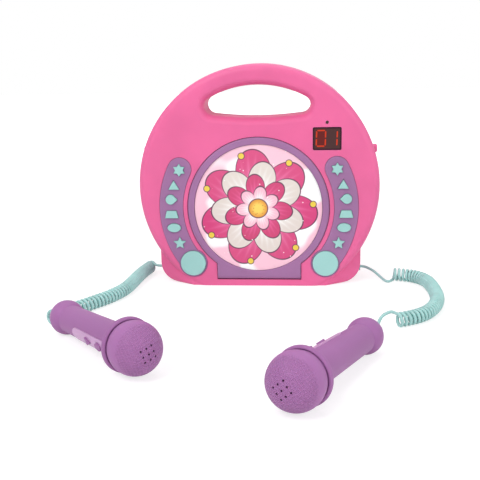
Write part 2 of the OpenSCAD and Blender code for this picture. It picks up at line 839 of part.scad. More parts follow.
module key_boards() {
    color(board_green) for (side = [-1, 1]) {
        slab(key_board_y, key_board_y + key_board_t) panel_outline(side, -0.4);
        for (a = key_angles) {
            p = at_disc(panel_mid_r, a);
            translate([side * p[0], 0, p[1]]) {
                block([-3, key_board_y - 3.4, -3], [3, key_board_y + 0.5, 3]);
                rod(0, 0, 1.7, switch_y, key_board_y);
            }
        }
    }
}

// ---- Display ----

module display_window() {
    color(dark) {
        slab(face_y + 0.3, inner_y + 0.1) translate([display_x, display_z])
            round_rect(display_w - 0.2, display_h - 0.2, 1.4);
        slab(inner_y, inner_y + 1.2) translate([display_x, display_z])
            square([display_w + 2, display_h + 2], center = true);
    }
}

module display_module() {
    y = display_board_y();
    color([0.75, 0.72, 0.68]) {
        slab(inner_y + 1.4, y + 0.5) translate([display_x, display_z])
            square([display_w - 2, display_h - 2], center = true);
        slab(y, y + board_t) translate([display_x, display_z]) {
            square([display_w + 2 * display_post_out + 3.2, display_h + 2], center = true);
            translate([-5, 0]) square([10, lamp_rise + 3]);
        }
        rod(display_x, display_z + lamp_rise, lamp_r, face_y + 0.2, y + 0.5);
        rod(display_x, display_z + lamp_rise, lamp_r + 0.4, inner_y + 1.4, y + 0.5);
    }
}

// ---- Disc drive, about the spindle ----

function involute(r, base) = tan(acos(base / r)) * 180 / PI - acos(base / r);

// Points of an involute gear with a tooth centred on angle zero
function gear_points(m, teeth, slack) =
    let (pitch = m * teeth / 2, base = pitch * cos(20), root = pitch - 1.2 * m, tip = pitch + 0.85 * m,
        half = 90 / teeth - slack / pitch * 90 / PI + tan(20) * 180 / PI - 20,
        radii = [max(base, root + 0.02), (max(base, root) + pitch) / 2, pitch, (pitch + tip) / 2, tip],
        turns = [for (r = radii) half - involute(r, base)])
    [for (i = [0 : teeth - 1]) let (a = i * 360 / teeth) each concat(
        [root * [cos(a - turns[0]), sin(a - turns[0])]],
        [for (k = [0 : 4]) radii[k] * [cos(a - turns[k]), sin(a - turns[k])]],
        [for (k = [4 : -1 : 0]) radii[k] * [cos(a + turns[k]), sin(a + turns[k])]],
        [root * [cos(a + turns[0]), sin(a + turns[0])]])];

module gear(x, z, m, teeth, turn, y0, y1) {
    slab(y0, y1) translate([x, z]) rotate(turn) polygon(gear_points(m, teeth, backlash));
}

// Points of the rack, its teeth hanging down, with a gap above the pinion
function rack_points() =
    let (tip = 0.75 * gear_module, root = 1.1 * gear_module, half = rack_pitch / 4 - backlash / 2,
        lean = tan(20))
    concat([for (i = [1 - rack_teeth : 0]) let (x = gear_x + (i + 0.5) * rack_pitch) each [
        [x - half - root * lean, rack_line_z + root], [x - half + tip * lean, rack_line_z - tip],
        [x + half - tip * lean, rack_line_z - tip], [x + half + root * lean, rack_line_z + root]]],
        [[gear_x + rack_pitch, rack_line_z + 3], [gear_x + (1 - rack_teeth) * rack_pitch, rack_line_z + 3]]);

module at_spindle() {
    translate([0, 0, disc_z]) children();
}

module drive_chassis() {
    ear_x = [sled_low_x - ear_t, pickup_start + pickup_travel + sled_half + ear_gap];
    color(steel) at_spindle() difference() {
        union() {
            slab(plate_y, plate_y + plate_t) difference() {
                translate([plate_low[0], plate_low[1]]) square(plate_size);
                translate([pickup_start - 7.5, -9]) square([pickup_travel + 15, 18]);
                translate([plate_low[0] - 1, plate_low[1] - 1]) square(plate_notch);
            }
            for (x = ear_x, s = [-1, 1])
                block([x, plate_y + 0.5, s * rod_z - 2.6], [x + ear_t, rod_y + 2.6, s * rod_z + 2.6]);
            rod(gear_x, gear_z, axle_r, plate_y + 0.5, wheel_y + wheel_t + 0.8);
            rod(gear_x, gear_z, axle_r + 1.2, plate_y + 0.5, sled_front_y - 0.3);
        }
        rod(0, 0, spindle_r + 1.5, plate_y - 1, plate_y + 3);
        for (p = damper_places) rod(p[0], p[1], 2.6, plate_y - 1, plate_y + 3);
        for (s = [-1, 1]) cross_rod(rod_y, s * rod_z, rod_r + 0.02, ear_x[0] - 1, ear_x[1] + ear_t + 1);
    }
}

module guide_rods() {
    color(steel) at_spindle() for (s = [-1, 1])
        cross_rod(rod_y, s * rod_z, rod_r, sled_low_x - ear_t - 0.5,
            pickup_start + pickup_travel + sled_half + ear_gap + ear_t + 0.5);
}

module drive_dampers() {
    color(dark) at_spindle() for (p = damper_places) {
        rod(p[0], p[1], 4, bay_floor_y + bay_wall, plate_y);
        rod(p[0], p[1], 2.5, plate_y - 0.5, plate_y + plate_t + 0.3);
        rod(p[0], p[1], 3.2, plate_y + plate_t, plate_y + plate_t + 0.7);
    }
}

module spindle_motor() {
    color(steel) at_spindle() {
        rod(0, 0, 12, plate_y + plate_t, plate_y + plate_t + 9);
        rod(0, 0, spindle_r + 1.2, plate_y - 0.6, plate_y + plate_t + 0.5);
        rod(0, 0, spindle_r, hub_tip_y + 1.8, plate_y);
    }
}

module turntable() {
    color(nylon) at_spindle() difference() {
        turned(0, 0) polygon([[0, hub_tip_y], [hub_r - 1.2, hub_tip_y], [hub_r, hub_tip_y + 0.8],
            [hub_r, disc_y], [turntable_r, disc_y], [turntable_r, disc_y + 1.4], [6, disc_y + 1.4],
            [5, bay_floor_y + 2.6], [0, bay_floor_y + 2.6]]);
        rod(0, 0, spindle_r + running, hub_tip_y + 1.2, bay_floor_y + 4);
    }
}

module pickup_sled() {
    x = pickup_start;
    color([0.3, 0.31, 0.34]) at_spindle() difference() {
        union() {
            block([x - sled_half, sled_front_y, -rod_z - 4], [x + sled_half, sled_back_y, rod_z + 4]);
            block([x - head_half, disc_y + 5.4, -6.5], [x + head_half, sled_front_y + 0.5, 6.5]);
            rod(x, 0, 3.2, disc_y + 4.2, disc_y + 6);
            slab(sled_front_y, sled_front_y + 3.4) polygon(rack_points());
            block([x - sled_half, sled_front_y, -rod_z - 5], [x + sled_half, sled_front_y + 3.4, -rod_z - 3]);
        }
        for (s = [-1, 1])
            cross_rod(rod_y, s * rod_z, rod_r + running, x - sled_half - 1, x + sled_half + 1);
        rod(x, 0, 2.2, disc_y + 3, disc_y + 4.8);
    }
}

module sled_gear() {
    color(nylon) at_spindle() difference() {
        union() {
            gear(gear_x, gear_z, gear_module, rack_pinion_teeth, 0, sled_front_y, wheel_y + 0.2);
            gear(gear_x, gear_z, gear_module, wheel_teeth, 0, wheel_y, wheel_y + wheel_t);
        }
        rod(gear_x, gear_z, axle_r + running, sled_front_y - 1, wheel_y + wheel_t + 1);
    }
}

module motor_pinion() {
    tooth = 360 / motor_pinion_teeth;
    turn = gear_angle - 180 - floor((gear_angle - 180) / tooth) * tooth;
    color("goldenrod") at_spindle() difference() {
        gear(pinion_x, pinion_z, gear_module, motor_pinion_teeth, turn, wheel_y - 0.3, wheel_y + wheel_t + 0.3);
        rod(pinion_x, pinion_z, motor_shaft_r + running, wheel_y - 1, wheel_y + wheel_t + 1);
    }
}

module sled_motor() {
    color(steel) at_spindle() {
        rod(pinion_x, pinion_z, 7, plate_y + plate_t, wheel_y - 1.2);
        rod(pinion_x, pinion_z, motor_shaft_r, wheel_y - 1.5, wheel_y + wheel_t + 0.6);
    }
}

// ---- Electronics and power ----

module main_board() {
    color(board_green) {
        slab(board_y, board_y + board_t) translate([0, (board_z0 + board_z1) / 2])
            square([board_w, board_z1 - board_z0], center = true);
        for (x = [-20, 4]) block([x, board_y - 2, 96], [x + 14, board_y + 0.5, 110]);
        for (x = [-26, -12, 14, 28]) rod(x, 126, 4, board_y + board_t - 0.5, board_y + board_t + 11);
        for (z = [78, 86]) block([-8, board_y - 5, z], [10, board_y + 0.5, z + 4]);
    }
}

module speakers() {
    color([0.25, 0.25, 0.27]) for (side = [-1, 1]) turned(side * speaker_x, speaker_z) polygon([
        [0, speaker_y - 19], [14, speaker_y - 19], [14, speaker_y - 12], [speaker_r - 4, speaker_y - 2],
        [speaker_r, speaker_y - 2], [speaker_r, speaker_y], [speaker_r - 3, speaker_y], [10, speaker_y - 8],
        [8, speaker_y - 6], [0, speaker_y - 5]]);
}

module battery_cells() {
    nub = 1.5;
    color([0.35, 0.36, 0.4]) for (s = [-1, 1], row = [0, 1]) {
        z = cell_z0 + row * cell_pitch;
        dir = row == 0 ? 1 : -1;
        x0 = s * (cell_l / 2 + 0.9) - cell_l / 2;
        cross_rod(cell_y, z, cell_r, x0 + (dir < 0 ? nub : 0), x0 + cell_l - (dir > 0 ? nub : 0));
        cross_rod(cell_y, z, 3.6, dir > 0 ? x0 + cell_l - nub - 0.5 : x0,
            dir > 0 ? x0 + cell_l : x0 + nub + 0.5);
    }
}

module battery_contacts() {
    color("silver") for (s = [-1, 1], row = [0, 1]) {
        z = cell_z0 + row * cell_pitch;
        block([s * (bay_x - 0.3) - 0.3, cell_y - 8, z - 8], [s * (bay_x - 0.3) + 0.3, cell_y + 8, z + 8]);
        translate([s * (cell_l + 0.9 + fit), cell_y, z]) rotate([0, s * 90, 0])
            cylinder(r1 = 3, r2 = 6, h = bay_x - cell_l - 0.9 - fit - 0.5);
    }
}

module power_socket() {
    x = socket_in - side_x(socket_z);
    color(dark) difference() {
        union() {
            rod(x, socket_z, socket_r + 2.2, back_y - 12, back_y - 0.4);
            rod(x, socket_z, socket_r + 3.4, back_y - wall - 1.5, back_y - wall);
        }
        rod(x, socket_z, socket_r, back_y - 10, back_y + 1);
    }
}

module cord_bushings() {
    color(cord_teal) for (side = [-1, 1]) translate([side * outlet_x, outlet_y, outlet_z])
        rotate([0, side * 90, 0]) difference() {
            union() {
                cylinder(r = bushing_flange_r, h = bushing_flange_t);
                translate([0, 0, -5]) cylinder(r = bushing_r, h = 5.5);
            }
            translate([0, 0, -6]) cylinder(r = cord_r + 0.2, h = 5);
        }
}

// ---- Microphones, lying on the table with the head towards the front ----

module mic_place(side) {
    at = side < 0 ? left_mic_at : right_mic_at;
    translate([at[0], at[1], collar_r]) rotate([0, 0, side < 0 ? left_mic_turn : right_mic_turn])
        rotate([0, -mic_tilt, 0]) rotate([side < 0 ? left_mic_roll : right_mic_roll, 0, 0]) children();
}

// A body turned about the handle's axis, drawn as radius and distance along it
module mic_turned() {
    rotate([0, 90, 0]) rotate_extrude() children();
}

function handle_r(x) = handle_tail_r + (handle_head_r - handle_tail_r) * (x + mic_l - 8) / (mic_l - 17);

// Outline of the inlay plate seen from above it
module plate_outline(g) {
    translate([plate_x + plate_w / 2, 0]) circle(plate_w / 2 + g);
    translate([plate_x + plate_w / 2, -plate_w / 2 - g]) square([plate_l - plate_w / 2 + g, plate_w + 2 * g]);
}

// The handle's own surface moved out by grow
module handle_profile(grow) {
    polygon([[0, -mic_l], [handle_r(-mic_l) + grow, -mic_l], [handle_r(-3) + grow, -3], [0, -3]]);
}

module mic_handle(side) {
    edge = 2;
    half = collar_w / 2;
    color(purple) mic_place(side) difference() {
        union() {
            mic_turned() {
                intersection() {
                    translate([0, -mic_l]) circle(tail_r);
                    translate([0, -mic_l - tail_r]) square([tail_r, 2 * tail_r]);
                }
                handle_profile(0);
                polygon([[0, -10], [handle_r(-9) - 0.5, -10], [handle_r(-9) + 1.6, -5],
                    [collar_r - 3.5, -half + 0.4], [0, 0]]);
                translate([0, -half + edge]) square([collar_r, collar_w - 2 * edge]);
                translate([0, -half]) square([collar_r - edge, collar_w]);
                translate([collar_r - edge, -half + edge]) circle(edge);
                translate([collar_r - edge, half - edge]) circle(edge);
                translate([0, half - 1]) square([8, 8]);
            }
        }
        mic_turned() translate([head_base_r(), half - 1]) square([groove_w, 2]);
        mic_turned() translate([8.2, half - 1]) square([head_base_r() - 8, 10]);
        intersection() {
            difference() {
                mic_turned() handle_profile(5);
                mic_turned() handle_profile(-1.3);
            }
            linear_extrude(big / 2) plate_outline(0.15);
        }
        for (x = mic_cap_x) translate([x, 0, handle_tail_r - 4.6]) cylinder(r = 5.2, h = 10);
    }
}

function head_base_r() = sqrt(pow(head_r, 2) - pow(head_x - collar_w / 2, 2));

module mic_head(side) {
    hole_r = 0.8;
    hole_pitch = 4.6;
    half = collar_w / 2;
    color(purple) mic_place(side) difference() {
        mic_turned() difference() {
            union() {
                intersection() {
                    translate([0, head_x]) circle(head_r);
                    translate([0, half]) square([head_r, head_x + head_r]);
                }
                translate([0, half - 1]) square([head_base_r(), 1.1]);
            }
            intersection() {
                translate([0, head_x]) circle(head_r - head_wall);
                square([head_r, 2 * head_r]);
            }
            square([head_base_r() - head_wall, half + 1.5]);
        }
        for (i = [-1 : 1], j = [-1 : 1]) translate([head_x, i * hole_pitch, j * hole_pitch])
            rotate([0, 90, 0]) cylinder(r = hole_r, h = head_r + 5, $fn = 16);
    }
}

module mic_capsule(side) {
    color(dark) mic_place(side) translate([collar_w / 2 + 7, 0, 0]) rotate([0, 90, 0])
        cylinder(r = 6.5, h = 14);
}

module mic_plate(side) {
    color(lilac) mic_place(side) difference() {
        intersection() {
            difference() {
                mic_turned() handle_profile(plate_proud);
                mic_turned() handle_profile(-1.3);
            }
            linear_extrude(big / 2) plate_outline(0);
        }
        for (k = [0, 1]) translate([mic_cap_x[k], 0, 0]) linear_extrude(big / 2) mic_key_outline(k, 0.25);
    }
}

// Outline of a microphone key: a triangle nearer the tail, an oval nearer the head
module mic_key_outline(k, g) {
    if (k == 0) polygon([[-3.4 - g, -3.6 - 1.5 * g], [-3.4 - g, 3.6 + 1.5 * g], [3.8 + 2 * g, 0]]);
    if (k == 1) polygon([for (a = [0 : 15 : 345]) [(4.6 + g) * cos(a), (3.4 + g) * sin(a)]]);
}

module mic_key(side, k) {
    low = handle_tail_r - 4.6 + mic_key_travel + 0.3;
    top = handle_r(mic_cap_x[k]) + plate_proud + 1.1;
    color(purple) mic_place(side) translate([mic_cap_x[k], 0, low]) {
        linear_extrude(top - low) mic_key_outline(k, 0);
        cylinder(r = 4.7, h = 1.1);
    }
}

// ---- Cords ----

// A tube through points, with one reference direction a ring
module tube(points, refs, r, sides) {
    n = len(points);
    rings = [for (i = [0 : n - 1]) let (
        t = unit(points[min(i + 1, n - 1)] - points[max(i - 1, 0)]),
        u = unit(cross(t, refs[i])), v = cross(t, u))
        [for (j = [0 : sides - 1]) points[i] + r * (u * cos(360 * j / sides) + v * sin(360 * j / sides))]];
    loft([for (ring = rings) ring]);
}

// Point on a smooth curve through the route at position s, counted in stretches
function route_at(route, s) =
    let (n = len(route) - 1, i = min(floor(s), n - 1), t = s - i,
        b = route[i], c = route[i + 1],
        a = i == 0 ? 2 * b - c : route[i - 1], d = i == n - 1 ? 2 * c - b : route[i + 2])
    (pow(1 - t, 3) * a + (3 * pow(t, 3) - 6 * t * t + 4) * b + (-3 * pow(t, 3) + 3 * t * t + 3 * t + 1) * c
        + pow(t, 3) * d) / 6;
function route_dir(route, s) =
    let (n = len(route) - 1, e = 0.02)
    unit(route_at(route, min(s + e, n)) - route_at(route, max(s - e, 0)));
function level(p, z) = [p[0], p[1], z];

// Point of the curly cord after some curls, starting at an angle round its route
function curl_at(route, curls, start) =
    let (s = curls / coil_curls * (len(route) - 1), p = route_at(route, s), d = route_dir(route, s),
        a = start + 360 * curls)
    [p[0] - d[1] * coil_r * cos(a), p[1] + d[0] * coil_r * cos(a), coil_d / 2 + coil_r * sin(a)];

// Middle line of a curly cord: a straight end, eight points a curl and a straight end
function curl_line(route, start) =
    let (steps = round(coil_curls * 8), e = 0.01,
        first = curl_at(route, 0, start), last = curl_at(route, coil_curls, start),
        d0 = unit(curl_at(route, e, start) - first), d1 = unit(last - curl_at(route, coil_curls - e, start)))
    concat([first - d0 * cord_d], [for (i = [0 : steps]) curl_at(route, coil_curls * i / steps, start)],
        [last + d1 * cord_d]);

function curl_refs(route) =
    let (steps = round(coil_curls * 8))
    concat([level(route_dir(route, 0), 0)],
        [for (i = [0 : steps]) level(route_dir(route, (len(route) - 1) * i / steps), 0)],
        [level(route_dir(route, len(route) - 1), 0)]);

module cord_coil(side) {
    route = side < 0 ? left_coil_route : right_coil_route;
    line = coil_line(side);
    gaps = [for (i = [0 : len(line) - 7], j = [i + 6 : min(i + 12, len(line) - 1)])
        norm(line[i] - line[j]) - cord_d];
    echo(coil = side < 0 ? "left" : "right", least_gap = min(gaps));
    color(cord_teal) tube(line, curl_refs(route), cord_r, 6);
}

module cord_free(points) {
    color(cord_teal) tube(points, [for (p = points) [0, 0, 1]], cord_r, 8);
}

function coil_line(side) =
    side < 0 ? curl_line(left_coil_route, left_coil_start) : curl_line(right_coil_route, right_coil_start);
function coil_end(side, last) = let (line = coil_line(side)) last ? line[len(line) - 1] : line[0];
function coil_end_dir(side, last) =
    let (line = coil_line(side), n = len(line))
    last ? unit(line[n - 1] - line[n - 2]) : unit(line[1] - line[0]);

// Where the cord meets the tail of a microphone, and the way it runs there
function mic_axis(side) =
    let (a = side < 0 ? left_mic_turn : right_mic_turn)
    [cos(mic_tilt) * cos(a), cos(mic_tilt) * sin(a), sin(mic_tilt)];
function mic_pole(side, out) =
    let (at = side < 0 ? left_mic_at : right_mic_at)
    [at[0], at[1], collar_r] - mic_axis(side) * (mic_l + tail_r + out);

module cord_lead(side) {
    outlet = [side * (outlet_x + bushing_flange_t), outlet_y, outlet_z];
    last = coil_end(side, false);
    cord_free(concat([outlet, outlet + [side * 2, 0, 0]], side < 0 ? left_lead_route : right_lead_route,
        [last - 2 * coil_end_dir(side, false), last]));
}

module cord_tail(side) {
    first = coil_end(side, true);
    cord_free(concat([first, first + 2 * coil_end_dir(side, true)],
        side < 0 ? left_tail_route : right_tail_route, [mic_pole(side, 3), mic_pole(side, cord_tip_gap)]));
}

// ---- The parts ----

front_shell();
rear_shell();
key_panel(-1);  // left_panel
key_panel(1);  // right_panel
disc_well();
display_window();
display_module();
main_board();
key_boards();
speakers();
battery_cells();
battery_contacts();
battery_door();
door_screw();
drive_chassis();
drive_dampers();
spindle_motor();
turntable();
pickup_sled();
guide_rods();
sled_gear();
sled_motor();
motor_pinion();
cord_bushings();
power_socket();
lid_frame();
lid_picture();
case_screws();
key(-1, 0);  // left_star6_key
key(-1, 1);  // left_triangle_key
key(-1, 2);  // left_drop_key
key(-1, 3);  // left_wedge_key
key(-1, 4);  // left_oval_key
key(-1, 5);  // left_star5_key
key(-1, 6);  // left_round_button
mic_handle(-1);  // left_mic_handle
mic_head(-1);  // left_mic_head
mic_plate(-1);  // left_mic_plate
mic_key(-1, 0);  // left_mic_triangle_key
mic_key(-1, 1);  // left_mic_oval_key
mic_capsule(-1);  // left_mic_capsule
cord_lead(-1);  // left_cord_lead
cord_coil(-1);  // left_cord_coil
cord_tail(-1);  // left_cord_tail
key(1, 0);  // right_star6_key
key(1, 1);  // right_triangle_key
key(1, 2);  // right_drop_key
key(1, 3);  // right_wedge_key
key(1, 4);  // right_oval_key
key(1, 5);  // right_star5_key
key(1, 6);  // right_round_button
mic_handle(1);  // right_mic_handle
mic_head(1);  // right_mic_head
mic_plate(1);  // right_mic_plate
mic_key(1, 0);  // right_mic_triangle_key
mic_key(1, 1);  // right_mic_oval_key
mic_capsule(1);  // right_mic_capsule
cord_lead(1);  // right_cord_lead
cord_coil(1);  // right_cord_coil
cord_tail(1);  // right_cord_tail
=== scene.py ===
"""Looks of a round disc player for singing along, with two microphones on curly cords."""
import logging
import math
from dataclasses import dataclass, field
from enum import Enum
from typing import Sequence

import bmesh
import bpy
from mathutils import Matrix, Vector


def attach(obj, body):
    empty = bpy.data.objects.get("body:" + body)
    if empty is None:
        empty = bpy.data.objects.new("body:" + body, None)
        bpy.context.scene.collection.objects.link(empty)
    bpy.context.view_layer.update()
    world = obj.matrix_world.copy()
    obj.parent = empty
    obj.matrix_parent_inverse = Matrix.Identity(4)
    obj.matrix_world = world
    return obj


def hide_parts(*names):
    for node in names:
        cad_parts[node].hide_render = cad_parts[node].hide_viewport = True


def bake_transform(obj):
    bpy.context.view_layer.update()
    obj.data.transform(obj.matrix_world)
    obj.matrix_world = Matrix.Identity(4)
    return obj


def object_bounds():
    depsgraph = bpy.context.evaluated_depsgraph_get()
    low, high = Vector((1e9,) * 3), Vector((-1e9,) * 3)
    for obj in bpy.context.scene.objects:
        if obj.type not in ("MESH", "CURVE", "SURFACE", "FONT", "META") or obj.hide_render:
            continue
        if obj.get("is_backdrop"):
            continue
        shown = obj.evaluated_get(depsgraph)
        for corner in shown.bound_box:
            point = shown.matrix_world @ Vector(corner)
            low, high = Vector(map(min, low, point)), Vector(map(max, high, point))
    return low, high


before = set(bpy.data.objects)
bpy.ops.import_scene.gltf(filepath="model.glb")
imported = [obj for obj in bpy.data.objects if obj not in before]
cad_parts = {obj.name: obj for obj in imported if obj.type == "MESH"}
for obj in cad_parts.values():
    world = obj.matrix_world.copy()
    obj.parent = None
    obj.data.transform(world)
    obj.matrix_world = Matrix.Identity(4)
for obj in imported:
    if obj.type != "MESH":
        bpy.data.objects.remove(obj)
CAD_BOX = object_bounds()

log = logging.getLogger("scene")

MM = 0.001
SIDES = ("left", "right")
Colour = tuple[float, float, float]


def srgb(red: float, green: float, blue: float) -> Colour:
    """Turns a screen colour into the renderer's linear one.

    Args:
        red: Red from 0 to 255.
        green: Green from 0 to 255.
        blue: Blue from 0 to 255.

    Returns:
        The linear colour.
    """

    def linear(level: float) -> float:
        """Returns the linear level from 0 to 1."""
        share = level / 255
        return share / 12.92 if share <= 0.04045 else ((share + 0.055) / 1.055) ** 2.4

    return linear(red), linear(green), linear(blue)


class Signal:
    """One number that varies over a surface, with arithmetic that builds shader nodes."""

    def __init__(self, graph: "Graph", socket: bpy.types.NodeSocket) -> None:
        """Wraps an output socket that carries the number in a graph."""
        self.graph = graph
        self.socket = socket

    def _with(self, operation: str, *others: "Signal | float") -> "Signal":
        """Returns the result of an operation on the number and others."""
        return self.graph.math(operation, self, *others)

    def __add__(self, other: "Signal | float") -> "Signal":
        """Returns the sum."""
        return self._with("ADD", other)

    __radd__ = __add__

    def __sub__(self, other: "Signal | float") -> "Signal":
        """Returns the difference."""
        return self._with("SUBTRACT", other)

    def __rsub__(self, other: float) -> "Signal":
        """Returns what is left of a plain number."""
        return self.graph.math("SUBTRACT", other, self)

    def __mul__(self, other: "Signal | float") -> "Signal":
        """Returns the product."""
        return self._with("MULTIPLY", other)

    __rmul__ = __mul__

    def __truediv__(self, other: "Signal | float") -> "Signal":
        """Returns the quotient."""
        return self._with("DIVIDE", other)

    def __pow__(self, other: "Signal | float") -> "Signal":
        """Returns the power."""
        return self._with("POWER", other)

    def __abs__(self) -> "Signal":
        """Returns the number without its sign."""
        return self._with("ABSOLUTE")

    def sin(self) -> "Signal":
        """Returns the sine of the number, taken in radians."""
        return self._with("SINE")

    def cos(self) -> "Signal":
        """Returns the cosine of the number, taken in radians."""
        return self._with("COSINE")

    def fraction(self) -> "Signal":
        """Returns the part after the decimal point."""
        return self._with("FRACT")

    def smaller(self, other: "Signal | float") -> "Signal":
        """Returns the smaller of two numbers."""
        return self._with("MINIMUM", other)

    def larger(self, other: "Signal | float") -> "Signal":
        """Returns the larger of two numbers."""
        return self._with("MAXIMUM", other)

    def step(self, low: float, high: float) -> "Signal":
        """Rises smoothly from 0 to 1 between two levels, or falls if they are swapped.

        Args:
            low: Level where the result is 0.
            high: Level where the result is 1.

        Returns:
            The smooth step.
        """
        if low > high:
            return 1.0 - self.step(high, low)
        ramp = self.graph.node(
            "ShaderNodeMapRange",
            {"Value": self, "From Min": low, "From Max": high},
            interpolation_type="SMOOTHSTEP",
        )
        return Signal(self.graph, ramp.outputs["Result"])


Input = Signal | bpy.types.NodeSocket | float | Sequence[float]


class Graph:
    """The node tree of a material or of the surroundings, written as expressions."""

    def __init__(self, name: str, holders: str = "materials") -> None:
        """Starts an empty node tree.

        Args:
            name: Name of the data that holds the tree.
            holders: Collection that the data is made in.
        """
        self.data = getattr(bpy.data, holders).new(name)
        self.data.use_nodes = True
        self.tree = self.data.node_tree
        self.tree.nodes.clear()

    def node(self, kind: str, inputs: dict[str | int, Input], **settings: object) -> bpy.types.Node:
        """Adds a node.

        Args:
            kind: Type name of the node.
            inputs: Value or link for each named input.
            **settings: Attributes of the node.

        Returns:
            The new node.
        """
        made = self.tree.nodes.new(kind)
        for key, value in settings.items():
            setattr(made, key, value)
        for key, value in inputs.items():
            socket = made.inputs[key]
            source = value.socket if isinstance(value, Signal) else value
            if isinstance(source, bpy.types.NodeSocket):
                self.tree.links.new(source, socket)
            elif isinstance(source, (int, float)):
                socket.default_value = source
            else:
                socket.default_value = (*source, 1.0)[: len(socket.default_value)]
        return made

    def math(self, operation: str, *values: Signal | float) -> Signal:
        """Adds a math node, by the renderer's name for it, and returns its result."""
        made = self.node("ShaderNodeMath", dict(enumerate(values)), operation=operation)
        return Signal(self, made.outputs[0])

    def length(self, *parts: Signal) -> Signal:
        """Returns the length of a vector with the given parts."""
        first, *rest = (part * part for part in parts)
        return self.math("SQRT", sum(rest, first))

    def seen(self) -> Signal:
        """Tells where the camera looks, straight, in a mirror or through glass.

        Returns:
            1 where it does, and else 0.
        """
        path = self.node("ShaderNodeLightPath", {})
        camera, glossy, through = (
            Signal(self, path.outputs[f"Is {kind} Ray"]) for kind in ("Camera", "Glossy", "Transmission")
        )
        return camera.larger(glossy).larger(through)

    def place(self, holder: bpy.types.Object | None = None) -> bpy.types.NodeSocket:
        """Returns the surface point's place in metres, in its own axes or in the holder's."""
        return self.node("ShaderNodeTexCoord", {}, object=holder).outputs["Object"]

    def axes(self, holder: bpy.types.Object | None = None) -> tuple[Signal, Signal, Signal]:
        """Returns the three parts of the surface point's place."""
        made = self.node("ShaderNodeSeparateXYZ", {0: self.place(holder)})
        return tuple(Signal(self, out) for out in made.outputs)

    def join(self, x: Signal | float, y: Signal | float, z: Signal | float) -> bpy.types.NodeSocket:
        """Returns the vector that three numbers make."""
        return self.node("ShaderNodeCombineXYZ", {0: x, 1: y, 2: z}).outputs[0]

    def noise(self, scale: float, detail: float = 2.0, at: bpy.types.NodeSocket | None = None) -> Signal:
        """Adds smooth noise.

        Args:
            scale: Cells to a metre.
            detail: How many finer layers it has.
            at: Place that it follows, or None for the surface point's own.

        Returns:
            Noise about 0.5.
        """
        inputs = {"Vector": self.place() if at is None else at, "Scale": scale, "Detail": detail}
        return Signal(self, self.node("ShaderNodeTexNoise", inputs).outputs["Fac"])

    def spots(self, vector: bpy.types.NodeSocket, scale: float) -> Signal:
        """Returns the distance to scattered points in cells, with a scale in cells to a unit."""
        made = self.node("ShaderNodeTexVoronoi", {"Vector": vector, "Scale": scale})
        return Signal(self, made.outputs["Distance"])

    def mix(self, base: Input, over: Input, share: Signal | float) -> bpy.types.NodeSocket:
        """Returns one colour with a share of another laid over it."""
        made = self.node("ShaderNodeMix", {0: share, 6: base, 7: over}, data_type="RGBA", clamp_factor=True)
        return made.outputs[2]

    def relief(self, height: Signal, depth: float, rounding: float = 0.0) -> bpy.types.NodeSocket:
        """Turns height into shading relief over softly rounded edges.

        Args:
            height: Height from 0 to 1.
            depth: Metres that a height of 1 stands for.
            rounding: Radius of the edges' rounding in metres.

        Returns:
            The normal.
        """
        inputs: dict[str | int, Input] = {"Height": height, "Distance": depth, "Strength": 1.0}
        if rounding:
            inputs["Normal"] = self.node("ShaderNodeBevel", {"Radius": rounding}, samples=4).outputs[0]
        return self.node("ShaderNodeBump", inputs).outputs["Normal"]

    def surface(self, **inputs: Input) -> bpy.types.Material:
        """Closes the material with one principled surface.

        Args:
            **inputs: Value or link for each input, with _ for a space in its name.

        Returns:
            The finished material.
        """
        named = {key.replace("_", " "): value for key, value in inputs.items()}
        shader = self.node("ShaderNodeBsdfPrincipled", named)
        self.node("ShaderNodeOutputMaterial", {"Surface": shader.outputs[0]})
        return self.data


@dataclass(frozen=True)
class Finish:
    """What every finish has.

    Attributes:
        name: Name of the material.
        colour: Its main colour.
    """

    name: str
    colour: Colour

    def paint(self, graph: Graph) -> bpy.types.Material:
        """Fills an empty graph and returns its finished material."""
        raise NotImplementedError

    def make(self) -> bpy.types.Material:
        """Makes the material and returns it."""
        return self.paint(Graph(self.name))

    def shade(self, amount: float) -> Colour:
        """Returns the main colour times a factor."""
        return tuple(min(1.0, part * amount) for part in self.colour)


@dataclass(frozen=True)
class Moulded(Finish):
    """Injection-moulded plastic with a faint skin.

    Attributes:
        roughness: Mean roughness.
        skin: Depth of the moulded skin in metres.
        rounding: Radius that its edges show, in metres.
        coat: Weight of the clear gloss on top.
        shine: Level of the mirror light, 0.5 for common plastic.
        glow: Weight of the light that goes a little way in.
        marks: Flow marks to a metre.
        grains: Grains of the skin to a metre.
    """

    roughness: float = 0.38
    skin: float = 0.00002
    rounding: float = 0.0004
    coat: float = 0.15
    shine: float = 0.5
    glow: float = 0.12
    marks: float = 14
    grains: float = 1600

    def plastic(self, graph: Graph, **inputs: Input) -> bpy.types.Material:
        """Closes the material with the plastic's gloss and inner light.

        Args:
            graph: Graph that holds the material.
            **inputs: Value or link for each further input, as surface takes them.

        Returns:
            The finished material.
        """
        return graph.surface(
            Specular_IOR_Level=self.shine,
            Coat_Weight=self.coat,
            Subsurface_Weight=self.glow,
            Subsurface_Radius=(0.004, 0.002, 0.002),
            Subsurface_Scale=0.5,
            **inputs,
        )

    def paint(self, graph: Graph) -> bpy.types.Material:
        """Fills the graph with flow marks, skin grain and rounded edges.

        Args:
            graph: Empty graph.

        Returns:
            The finished material.
        """
        flow, grain = graph.noise(self.marks, 3), graph.noise(self.grains)
        return self.plastic(
            graph,
            Base_Color=graph.mix(self.shade(0.94), self.shade(1.05), flow.step(0.3, 0.7)),
            Roughness=self.roughness + (grain - 0.5) * 0.16 + (flow - 0.5) * 0.08,
            Normal=graph.relief(grain, self.skin, self.rounding),
            Coat_Roughness=0.22,
        )


